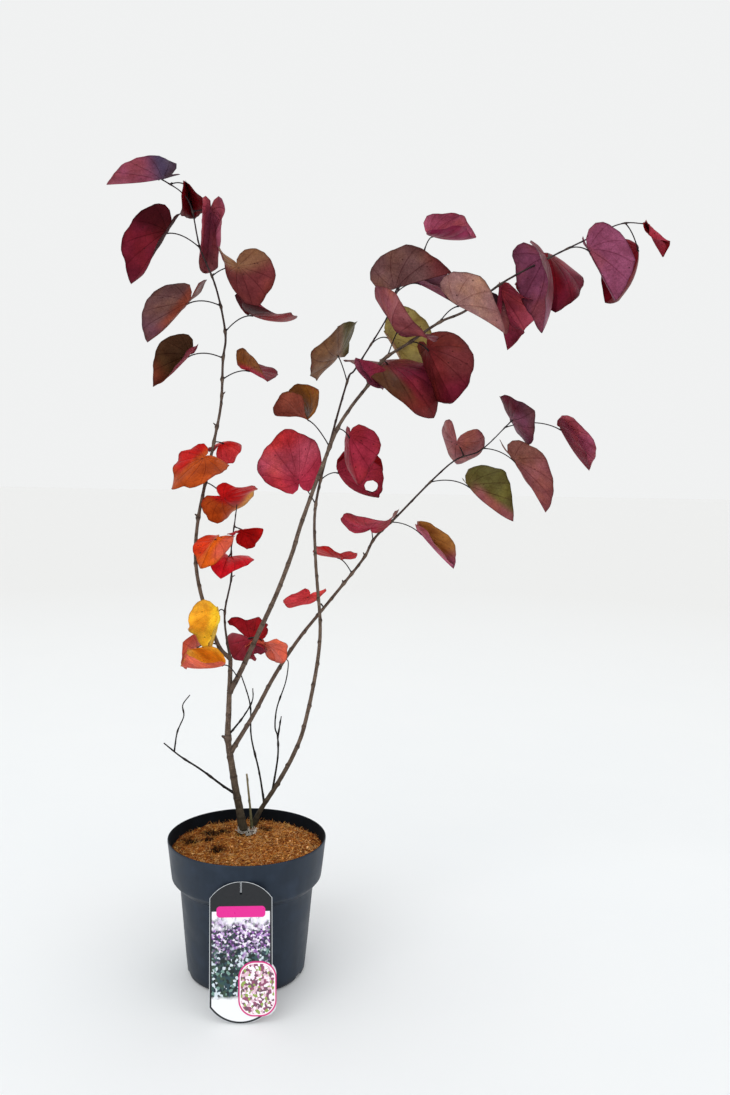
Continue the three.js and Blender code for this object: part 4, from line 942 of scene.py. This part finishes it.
# the live wood: every limb, its nubs and the spurs that some leaves stand on
bark = [limbPart(limb, joints[name], seed) for seed, (name, limb) in enumerate(limbs.items())]
for name, limb in limbs.items():
    curve = limbCurve(limb["path"])
    for at, out in limb.get("nubs", ()):
        radius = (limb["foot"] + (limb["tip"] - limb["foot"]) * at) * stub["nubRadius"]
        bark.append(stubPart(placeOn(curve, at), stub["nubLength"] * np.array(out), radius))
addPiece("bark", bark + spurs, [youngBark],
         ("trunk", "leader", "right_bough", "back_bough", "second_stem"))
addPiece("buds", buds, [leafStalk])
dead = [limbPart(limb, (0.35, 0.7), 9 + seed) for seed, limb in enumerate(deadLimbs.values())]
addPiece("dead_wood", dead, [deadWood],
         ("dead_left", "dead_middle", "dead_back", "dead_right"))
addPiece("cut_stub_wood", [limbPart(cutStub, (), 5)], [paleStub], ("cut_stub",))
for slot, blades in leafPieces.items():
    names = [name for name, spray in sprays.items() if spray["slot"] == slot]
    addPiece(slot.replace("leaf", "leaves"), blades, [waxyLeaf, mattLeaf], names)
addPiece("leaf_stalks", stalks, [leafStalk])


pot = {
    # radius and height, from the middle of the foot up to the rim, then down the inside
    "outer": [(0, 0), (84, 0), (86.5, 1.5), (88.5, 6), (99, 134), (99.8, 136), (103.5, 138.6),
              (110.2, 146), (111.6, 149), (117, 200), (117.6, 203.5)],
    "inner": [(117.4, 205.6), (116, 206), (114.9, 205.4), (114.4, 203), (109.2, 149),
              (107.8, 147), (101.2, 139.6), (96.6, 134.5), (86.2, 6), (82, 3), (0, 3)],
    "footRadius": 88, "notches": 8, "notchWidth": 24, "notchHeight": 7,
    "around": 240, "rounds": 2,
}


def lathe(profile):
    # A profile of (radius, height), turned about the upright axis. It starts and ends on the
    # axis. In each round every corner is cut a quarter of the way along both of its sides.
    p = np.array(profile, float)
    for _ in range(pot["rounds"]):
        inner = np.stack([0.75 * p[:-1] + 0.25 * p[1:], 0.25 * p[:-1] + 0.75 * p[1:]], 1)
        p = np.vstack([p[:1], inner.reshape(-1, 2)[1:-1], p[-1:]])
    turn = circle(pot["around"])
    rings = np.empty((len(p) - 2, len(turn), 3))
    rings[..., 0] = p[1:-1, :1] * np.cos(turn)
    rings[..., 1] = p[1:-1, :1] * np.sin(turn)
    rings[..., 2] = p[1:-1, 1:]
    return rings, (0, 0, p[0, 1]), (0, 0, p[-1, 1])


def makePot():
    # The lathed wall, inside and out, with a low half ellipse raised into its foot at each
    # notch. The wall has one finish outside, and inside a near-black one of painted shade.
    rings, first, last = lathe(pot["outer"] + pot["inner"])
    turn = np.arctan2(rings[..., 1], rings[..., 0])
    radius = np.hypot(rings[..., 0], rings[..., 1])
    # how far each point is from the middle of its notch, as a share of half a notch
    step = 2 * np.pi / pot["notches"]
    off = (np.abs((turn % step) - step / 2)) * pot["footRadius"] / (pot["notchWidth"] / 2)
    arch = pot["notchHeight"] * np.sqrt(np.clip(1 - off**2, 0, 1)) * smooth(74, 80, radius)
    inside = np.arange(len(rings))[:, None] >= 2 ** pot["rounds"] * len(pot["outer"])
    rings[..., 2] = np.where(inside, rings[..., 2], np.maximum(rings[..., 2], arch))
    # a moulded wall is never quite true
    rings[..., :2] *= (1 + 0.0012 * np.sin(3 * turn + rings[..., 2] / 70))[..., None]
    # grime gathers low on the outside of the foot, and painted shade darkens it under the foot and
    # most in its arches
    grime = smooth(9, 2, rings[..., 2]) * (0.55 + 0.45 * smooth(88.5, 86, radius))
    part = skin(rings, first, last, grime=grime)
    part["slots"] = twoSlots(inside[:-1, 0], pot["around"])
    return part


def mouldedPlastic(name, dark, light, roughness, specular):
    # Recycled polypropylene, injection moulded: near black, with a broad satin sheen that
    # lightens it at its sides, faint upright flow marks and dust
    material, tree, shader = addMaterial(name, Specular_IOR_Level=specular,
                                         Specular_Tint=linear("#cddef8"))
    place = addNode(tree, "TexCoord").outputs["Object"]
    grime = addNode(tree, "Attribute", attribute_name="grime").outputs["Fac"]
    fine = addNode(tree, "TexNoise", {"Vector": place, "Scale": 1400, "Detail": 2})
    flow = addNode(tree, "Mapping", {"Vector": place, "Scale": (1, 1, 0.08)})
    marks = addNode(tree, "TexNoise", {"Vector": flow, "Scale": 60, "Detail": 4})
    dust = addNode(tree, "TexNoise", {"Vector": place, "Scale": 30, "Detail": 5})
    colour = layered(tree, dark, light, marks, (0.35, 0.7))
    colour = layered(tree, colour, "#48556a", dust, (0.5, 0.8), (0, 0.44 * specular))
    # the foot goes towards near black: grime outside, painted shade under it and in its arches
    colour = addNode(tree, "Mix", {0: grime, 6: colour, 7: "#060708"})
    rough = addNode(tree, "MapRange", {"Value": dust, "From Min": 0.3, "From Max": 0.7,
                                       "To Min": roughness - 0.08, "To Max": roughness + 0.08})
    bump = addNode(tree, "Bump", {"Height": fine, "Strength": 0.25, "Distance": 0.0002})
    setInputs(tree, shader, {"Base Color": colour, "Roughness": rough, "Normal": bump})
    return material


# the outer wall has its sheen; the inner one is painted near black as shade, and dull
potWall = mouldedPlastic("mouldedPotPlastic", "#0f1822", "#17212d", 0.5, 0.5)
# painted shade: the inside of the pot is darkened to near black
paintedShadeWall = mouldedPlastic("paintedShadeInnerWall", "#060708", "#0a0c0e", 0.8, 0.15)
addPiece("nursery_pot", [makePot()], [potWall, paintedShadeWall], ("pot",))


coir = {
    "edge": 187, "crown": 191, "radius": 112.6, "crownRadius": 70, "foot": 180,
    "around": 220, "rings": 60, "chips": 2600, "fibres": 5200, "seed": 11,
    "margin": 3, "hairMargin": 1.5,  # how far the litter and its hairs stay from the wall
    # hollows, darkened by painted shade: place across, place back, radius
    "shadedHollows": [(-63, 50, 13), (-40, 53, 11), (-87, 18, 15), (-62, 22, 10), (-42, -20, 12),
             (-8, 50, 15), (24, 66, 11), (-52, 40, 7)],
    "hollow": 5, "hollowShadeStrength": 0.93, "soilTint": "#84461c", "lump": 1.5, "smallLump": 0.6,
    # least size, and how much more the largest has
    "chipSize": (0.7, 1.7), "hairLength": (4, 10), "hairRadius": (0.16, 0.14),
    "chipShape": (1.3, 0.8, 0.45),  # across, back and high, as shares of its size
    "tints": ["#d08a3e", "#c0742f", "#a25823", "#e0a554", "#5c2c12", "#c8803a", "#ecba78"],
    "rootlets": 70, "rootletTint": "#d8d2c6", "trunkFoot": (-6, 54),
}


def coirHeight(x, y):
    # The surface: a low crown that falls to the wall, with lumps about 40 and 14 mm wide
    out = np.hypot(x, y)
    rise = smooth(coir["radius"], coir["crownRadius"], out)
    z = coir["edge"] + (coir["crown"] - coir["edge"]) * rise
    lumps = np.sin(x / 12 + 2 * np.sin(y / 17)) * np.cos(y / 11 + 1.5 * np.sin(x / 15))
    small = np.sin(x / 4.1 + y / 7) * np.cos(y / 4.7 - x / 9)
    for left, back, size in coir["shadedHollows"]:
        z = z - coir["hollow"] * np.exp(-((x - left) ** 2 + (y - back) ** 2) / size**2)
    return z + coir["lump"] * lumps + coir["smallLump"] * small


def paintedHollowShade(x, y):
    # The share of painted shade: full in the hollows, with ragged edges
    ragged = 0.35 * np.sin(x / 2.3 + 2 * np.sin(y / 3.1)) * np.sin(y / 2.1 + 2 * np.sin(x / 3.7))
    away = [np.hypot(x - a, y - b) / size for a, b, size in coir["shadedHollows"]]
    return smooth(1.25, 0.55, np.min(away, axis=0) + ragged)


def makeSoil():
    # A closed disc: rings out to the wall, then down and back in under it
    turn = circle(coir["around"])
    top = np.linspace(2, coir["radius"], coir["rings"])
    out = np.concatenate([top, [coir["radius"] - 0.5, 60]])
    x, y = out[:, None] * np.cos(turn), out[:, None] * np.sin(turn)
    z = coirHeight(x, y)
    z[-2:] = coir["foot"]
    tint = linear(coir["soilTint"]) * np.ones((*x.shape, 1))
    # painted shade darkens the coir in the hollows
    tint = tint * (1 - coir["hollowShadeStrength"] * paintedHollowShade(x, y)[..., None] * [1, 1, 1, 0])
    return skin(np.stack([x, y, z], -1), (0, 0, coirHeight(0, 0)), (0, 0, coir["foot"]), tint=tint)


def litter(draw, count):
    # Seeded places on the surface, even over its area, with a heading for each
    out = (coir["radius"] - coir["margin"]) * np.sqrt(draw.random(count))
    turn = 2 * np.pi * draw.random(count)
    x, y = out * np.cos(turn), out * np.sin(turn)
    return x, y, 2 * np.pi * draw.random(count)


def litterTints(draw, x, y):
    # One of the tints for each place, lighter or darker at random, and darkened by painted shade in
    # the hollows
    palette = np.array([linear(tint) for tint in coir["tints"]])
    tint = palette[draw.integers(len(palette), size=len(x))]
    # paler and yellower towards the right
    towardsRight = smooth(-90, 90, x)[:, None]
    # painted shade darkens the litter in the hollows
    tint = tint * (0.62 + 0.62 * draw.random(len(x)))[:, None] * (0.9 + towardsRight * (0.25, 0.3, 0.45, 0))
    tint[:, :3] *= 1 - coir["hollowShadeStrength"] * paintedHollowShade(x, y)[:, None]
    tint[:, 3] = 1
    return tint


def copiesPart(points, quads, tris, tint):
    # One part from many like meshes: points are numbered by copy and by place in the mesh
    count, size = points.shape[:2]
    first = size * np.arange(count)[:, None, None]
    return {
        "points": points.reshape(-1, 3),
        "quads": (quads + first).reshape(-1, 4),
        "tris": (tris + first).reshape(-1, 3),
        "slots": np.zeros((len(quads) + len(tris)) * count, int),
        "attributes": {"tint": tint},
    }


def makeChips(draw):
    # Flat lumps of husk, each a small squashed ball turned at random
    x, y, heading = litter(draw, coir["chips"])
    least, more = coir["chipSize"]
    size = least + more * draw.random(len(x)) ** 2
    turn = circle(6)
    ring = np.stack([np.cos(turn), np.sin(turn), 0 * turn], -1)
    ball = np.vstack([[0, 0, -1], ring * 0.85 - (0, 0, 0.5), ring * 0.85 + (0, 0, 0.5), [0, 0, 1]])
    ball = ball[None] * (1 + 0.35 * (draw.random((len(x), len(ball), 3)) - 0.5))
    ball = ball * (size[:, None] * coir["chipShape"])[:, None]
    tilt = 0.9 * (draw.random(len(x)) - 0.5)
    high, across = rotated(ball[..., 2], ball[..., 0], tilt[:, None])
    across, back = rotated(across, ball[..., 1], heading[:, None])
    centre = np.stack([x, y, coirHeight(x, y) + 0.3 * size], -1)
    points = np.stack([across, back, high], -1) + centre[:, None]
    tint = np.repeat(litterTints(draw, x, y), len(ball[0]), axis=0)
    return copiesPart(points, *closedFaces(2, 6), tint)


def makeFibres(draw):
    # Short bent hairs that lie on the surface and rise a little towards one end. A hair that
    # would reach past the wall is drawn in to it.
    x, y, heading = litter(draw, coir["fibres"])
    least, more = coir["hairLength"]
    length = least + more * draw.random(len(x))
    tint = litterTints(draw, x, y)
    # fine pale roots lie over the coir round the foot of the trunk, where a hollow has painted shade
    pale = np.arange(len(x)) < coir["rootlets"]
    x = np.where(pale, coir["trunkFoot"][0] + (x - 6) / 7, x)
    y = np.where(pale, coir["trunkFoot"][1] + y / 9, y)
    tint[pale] = linear(coir["rootletTint"])
    t = np.linspace(-0.5, 0.5, 6)
    bend = 1.6 * (draw.random(len(x)) - 0.5)
    angle = heading[:, None] + bend[:, None] * t
    px = x[:, None] + length[:, None] * t * np.cos(angle)
    py = y[:, None] + length[:, None] * t * np.sin(angle)
    far = np.hypot(px, py) / (coir["radius"] - coir["hairMargin"])
    px, py = px / np.maximum(far, 1), py / np.maximum(far, 1)
    rise = (0.6 + 2.9 * draw.random(len(x))[:, None] ** 3) * (1 + t) ** 2
    rise = rise + 1.5 * pale[:, None]
    line = np.stack([px, py, coirHeight(px, py) + rise], -1)
    # a hair is darkened by painted shade where it crosses a hollow
    shade = (1 - 0.9 * paintedHollowShade(px, py) * ~pale[:, None])[..., None]
    tint = tint[:, None] * (shade * (1, 1, 1, 0) + (0, 0, 0, 1))
    along = np.gradient(line, axis=1)
    side = np.cross(along, (0, 0, 1.0))
    side /= np.linalg.norm(side, axis=-1, keepdims=True)
    other = np.cross(side, along)
    other /= np.linalg.norm(other, axis=-1, keepdims=True)
    thin, more = coir["hairRadius"]
    radius = ((thin + more * draw.random(len(x))) * (1 + 0.6 * pale))[:, None, None]
    rings = [line + radius * (np.cos(a) * side + np.sin(a) * other) for a in circle(3)]
    points = np.stack(rings, 2).reshape(len(x), -1, 3)
    # open rings without poles, so they are numbered from 0 and closed by one triangle each
    quads = closedFaces(len(t), 3)[0] - 1
    return copiesPart(points, quads, np.array([[0, 2, 1], [15, 16, 17]]),
                      np.repeat(tint.reshape(-1, 4), 3, axis=0))


def coirHusk():
    # Shredded coconut husk: dry, matt and warm brown, each piece with its own tint
    material, tree, shader = addMaterial("shreddedCoir", Roughness=0.95, Specular_IOR_Level=0.1)
    tint = addNode(tree, "Attribute", attribute_name="tint")
    place = addNode(tree, "TexCoord").outputs["Object"]
    grit = addNode(tree, "TexNoise", {"Vector": place, "Scale": 700, "Detail": 4})
    share = addNode(tree, "MapRange", {"Value": grit, "From Min": 0.35, "From Max": 0.65,
                                       "To Min": 0.55, "To Max": 1.25})
    colour = addNode(tree, "Mix", {0: 1, 6: tint, 7: share}, blend_type="MULTIPLY")
    bump = addNode(tree, "Bump", {"Height": grit, "Strength": 0.8, "Distance": 0.0008})
    setInputs(tree, shader, {"Base Color": colour, "Normal": bump})
    return material


draw = np.random.default_rng(coir["seed"])
husk = coirHusk()
addPiece("coir_surface", [makeSoil()], [husk], ("soil",))
addPiece("coir_chips", [makeChips(draw)], [husk], flat=True)
addPiece("coir_fibres", [makeFibres(draw)], [husk])


tag = {
    "foot": (10, -161, 0), "top": (4, -115.5, 183), "width": 87, "height": 189,
    "roundness": 54,  # radius of its round foot and top
    "slit": 17,  # its length, down from the top
    # plain printed areas: left, right, bottom, top, corner radius
    "panel": (-60, 60, -20, 149, 6), "bar": (-34, 34, 141, 156, 5),
    "inset": (-3, 49, 10, 82, 22),
    "ground": "#14171c", "sky": "#e8e6ee", "margin": "#e6e8ec", "core": "#d8dce0",
    "magenta": "#d8208c",
    "foliage": ("#10201f", "#2c4a46", "#6d8f86", "#14242e", "#25404a", "#c8d4dc", "#33483a"),
    "blooming": ("#3a2c50", "#8f5ea6", "#1c2430", "#b79cc8", "#63406e", "#e4dcea", "#2f4440"),
    "blossom": ("#d8b4c4", "#8c4a68", "#efe0e8", "#6e4a5c", "#f4ecf0", "#8aa04e"),
}


def tagPlace(tree):
    # Millimetres across the card's face from its middle, and up it from its foot
    foot, top = np.array(tag["foot"], float), np.array(tag["top"], float)
    up = (top - foot) / np.linalg.norm(top - foot)
    right = np.array([1, 0, 0]) - up * up[0]
    right /= np.linalg.norm(right)
    place = addNode(tree, "TexCoord").outputs["Object"]
    place = addNode(tree, "VectorMath", {0: place, 1: tuple(foot * metre)}, operation="SUBTRACT")
    return [addNode(tree, "VectorMath", {0: place, 1: tuple(way / metre)},
                    operation="DOT_PRODUCT") for way in (right, up)]


def tagDepth(tree, across, high):
    # How far in from the card's edge: from its straight sides, and from its round ends
    low = addNode(tree, "Math", {0: tag["roundness"], 1: high}, operation="SUBTRACT")
    over = addNode(tree, "Math", {0: high, 1: tag["height"] - tag["roundness"]},
                   operation="SUBTRACT")
    end = addNode(tree, "Math", {0: low, 1: over}, operation="MAXIMUM")
    end = addNode(tree, "Math", {0: end, 1: 0}, operation="MAXIMUM")
    away = addNode(tree, "CombineXYZ", {0: across, 1: end})
    away = addNode(tree, "VectorMath", {0: away}, operation="LENGTH")
    roundEnd = addNode(tree, "Math", {0: tag["roundness"], 1: away}, operation="SUBTRACT")
    aside = addNode(tree, "Math", {0: across}, operation="ABSOLUTE")
    aside = addNode(tree, "Math", {0: tag["width"] / 2, 1: aside}, operation="SUBTRACT")
    return addNode(tree, "Math", {0: roundEnd, 1: aside}, operation="MINIMUM")


def insideArea(tree, flat, area, grow=0):
    # 1 inside a rectangle with round corners, 0 outside, with a soft edge of 0.4 mm
    left, right, low, top, corner = area
    centre = ((left + right) / 2, (low + top) / 2, 0)
    size = ((right - left) / 2 - corner, (top - low) / 2 - corner, 1)
    off = addNode(tree, "VectorMath", {0: flat, 1: centre}, operation="SUBTRACT")
    off = addNode(tree, "VectorMath", {0: off}, operation="ABSOLUTE")
    off = addNode(tree, "VectorMath", {0: off, 1: size}, operation="SUBTRACT")
    off = addNode(tree, "VectorMath", {0: off, 1: (0, 0, 0)}, operation="MAXIMUM")
    away = addNode(tree, "VectorMath", {0: off}, operation="LENGTH")
    edge = corner + grow
    return addNode(tree, "MapRange", {"Value": away, "From Min": edge - 0.2, "From Max": edge + 0.2,
                                      "To Min": 1, "To Max": 0})


def mottled(tree, flat, scale, tints):
    # Blotches in the tints given, each a cell with a ragged edge
    ragged = addNode(tree, "TexNoise", {"Vector": flat, "Scale": 2 * scale, "Detail": 2})
    shifted = addNode(tree, "VectorMath", {0: ragged.outputs["Color"], 1: (1.6, 1.6, 0), 2: flat},
                      operation="MULTIPLY_ADD")
    blotches = addNode(tree, "TexVoronoi", {"Vector": shifted, "Scale": scale})
    number = addNode(tree, "SeparateColor", {0: blotches.outputs["Color"]})
    band = addNode(tree, "ValToRGB", {0: number})
    band.color_ramp.interpolation = "CONSTANT"
    for i, tint in enumerate(tints[1:], 1):
        band.color_ramp.elements.new(i / len(tints)).color = linear(tint)
    band.color_ramp.elements[0].color = linear(tints[0])
    band.color_ramp.elements[-1].color = linear(tints[-1])
    return band


def tagCard():
    # Glossy printed card: a black ground with a thin white edge, a plain magenta bar, and
    # panels with a mottled generic print, of foliage and of blossom
    material, tree, shader = addMaterial("printedTagCard", Specular_IOR_Level=0.35)
    across, high = tagPlace(tree)
    flat = addNode(tree, "CombineXYZ", {0: across, 1: high})
    drift = addNode(tree, "TexNoise", {"Vector": flat, "Scale": 0.09, "Detail": 4})
    printed = mottled(tree, flat, 0.28, tag["foliage"])
    # over the foliage lie a flowering top, a pale sky above that and a pale margin at the foot:
    # how far each one's border wanders, the heights it fades between and its shares there
    layers = ((110, (140, 160), (0, 1), mottled(tree, flat, 0.36, tag["blooming"])),
              (70, (160, 176), (0, 1), tag["sky"]), (10, (37, 42), (1, 0), tag["margin"]))
    for wander, heights, shares, over in layers:
        level = addNode(tree, "Math", {0: drift, 1: wander, 2: high}, operation="MULTIPLY_ADD")
        printed = layered(tree, printed, over, level, heights, shares)
    depth = tagDepth(tree, across, high)
    edge = addNode(tree, "MapRange", {"Value": depth, "From Min": 3, "From Max": 3.4})
    panel = insideArea(tree, flat, tag["panel"])
    share = addNode(tree, "Math", {0: edge, 1: panel}, operation="MULTIPLY")
    colour = addNode(tree, "Mix", {0: share, 6: tag["ground"], 7: printed})
    colour = layered(tree, colour, tag["core"], depth, (0.5, 0.8), (0.85, 0))
    # the white core of the card shows along its slit
    off = addNode(tree, "Math", {0: across}, operation="ABSOLUTE")
    share = addNode(tree, "MapRange", {"Value": off, "From Min": 0.85, "From Max": 1.05,
                                       "To Min": 0.9, "To Max": 0})
    cut = addNode(tree, "Math", {0: high, 1: tag["height"] - tag["slit"]}, operation="GREATER_THAN")
    share = addNode(tree, "Math", {0: share, 1: cut}, operation="MULTIPLY")
    colour = addNode(tree, "Mix", {0: share, 6: colour, 7: tag["core"]})
    # the bar, then the inset with its magenta line and its white one
    areas = (("bar", 0, tag["magenta"]), ("inset", 0.5, "#c8307c"), ("inset", -1.6, "#f0e6ea"),
             ("inset", -3, mottled(tree, flat, 0.3, tag["blossom"])))
    for area, grow, ink in areas:
        share = insideArea(tree, flat, tag[area], grow)
        colour = addNode(tree, "Mix", {0: share, 6: colour, 7: ink})
    scuffs = addNode(tree, "TexNoise", {"Vector": flat, "Scale": 0.2, "Detail": 5})
    rough = addNode(tree, "MapRange", {"Value": scuffs, "From Min": 0.3, "From Max": 0.7,
                                       "To Min": 0.26, "To Max": 0.42})
    bump = addNode(tree, "Bump", {"Height": scuffs, "Strength": 0.2, "Distance": 0.0004})
    setInputs(tree, shader, {"Base Color": colour, "Roughness": rough, "Normal": bump})
    return material


card = bpy.data.objects["hang_tag"]
card.data.materials.clear()
card.data.materials.append(tagCard())
print("hang tag")


def makeFloor():
    # a pale floor with a painted pool of light round the pot, wide enough that its far edge meets
    # the pale backdrop out of sight
    mesh = bpy.data.meshes.new("floor")
    corners = [(-8, -6, -0.001), (8, -6, -0.001), (8, 12, -0.001), (-8, 12, -0.001)]
    mesh.from_pydata(corners, [], [(0, 1, 2, 3)])
    material, tree, shader = addMaterial("pavedPaleFloor", Roughness=0.8)
    place = addNode(tree, "TexCoord").outputs["Object"]
    mottle = addNode(tree, "TexNoise", {"Vector": place, "Scale": 3, "Detail": 3})
    colour = addNode(tree, "Mix", {0: mottle, 6: "#eceff1", 7: "#f0f2f3"})
    away = addNode(tree, "VectorMath", {0: place}, operation="LENGTH")
    # painted light: the floor is lightest round the pot and darker away from it
    colour = layered(tree, colour, "#e4e4e3", away, (0.6, 4))
    setInputs(tree, shader, {"Base Color": colour})
    mesh.materials.append(material)
    floor = bpy.data.objects.new("floor", mesh)
    bpy.context.scene.collection.objects.link(floor)


makeFloor()


def addLight(name, strength, spread, place):
    # Light from a direction, as even as daylight through a wide diffuser
    data = bpy.data.lights.new(name, "SUN")
    data.energy = strength
    data.angle = np.radians(spread)
    light = bpy.data.objects.new(name, data)
    light.location = place
    light.rotation_euler = (-Vector(place)).to_track_quat("-Z", "Y").to_euler()
    bpy.context.scene.collection.objects.link(light)


addLight("softKey", 0.9, 50, (-1.3, -2.6, 2.0))
addLight("softFill", 0.5, 70, (1.8, -2.4, 1.2))
world = bpy.data.worlds.new("paleRoom")
world.use_nodes = True
world.node_tree.nodes["Background"].inputs["Color"].default_value = linear("#f6f7f7")
world.node_tree.nodes["Background"].inputs["Strength"].default_value = 0.95
bpy.context.scene.world = world
bpy.context.scene.view_settings.view_transform = "Standard"
print("light")
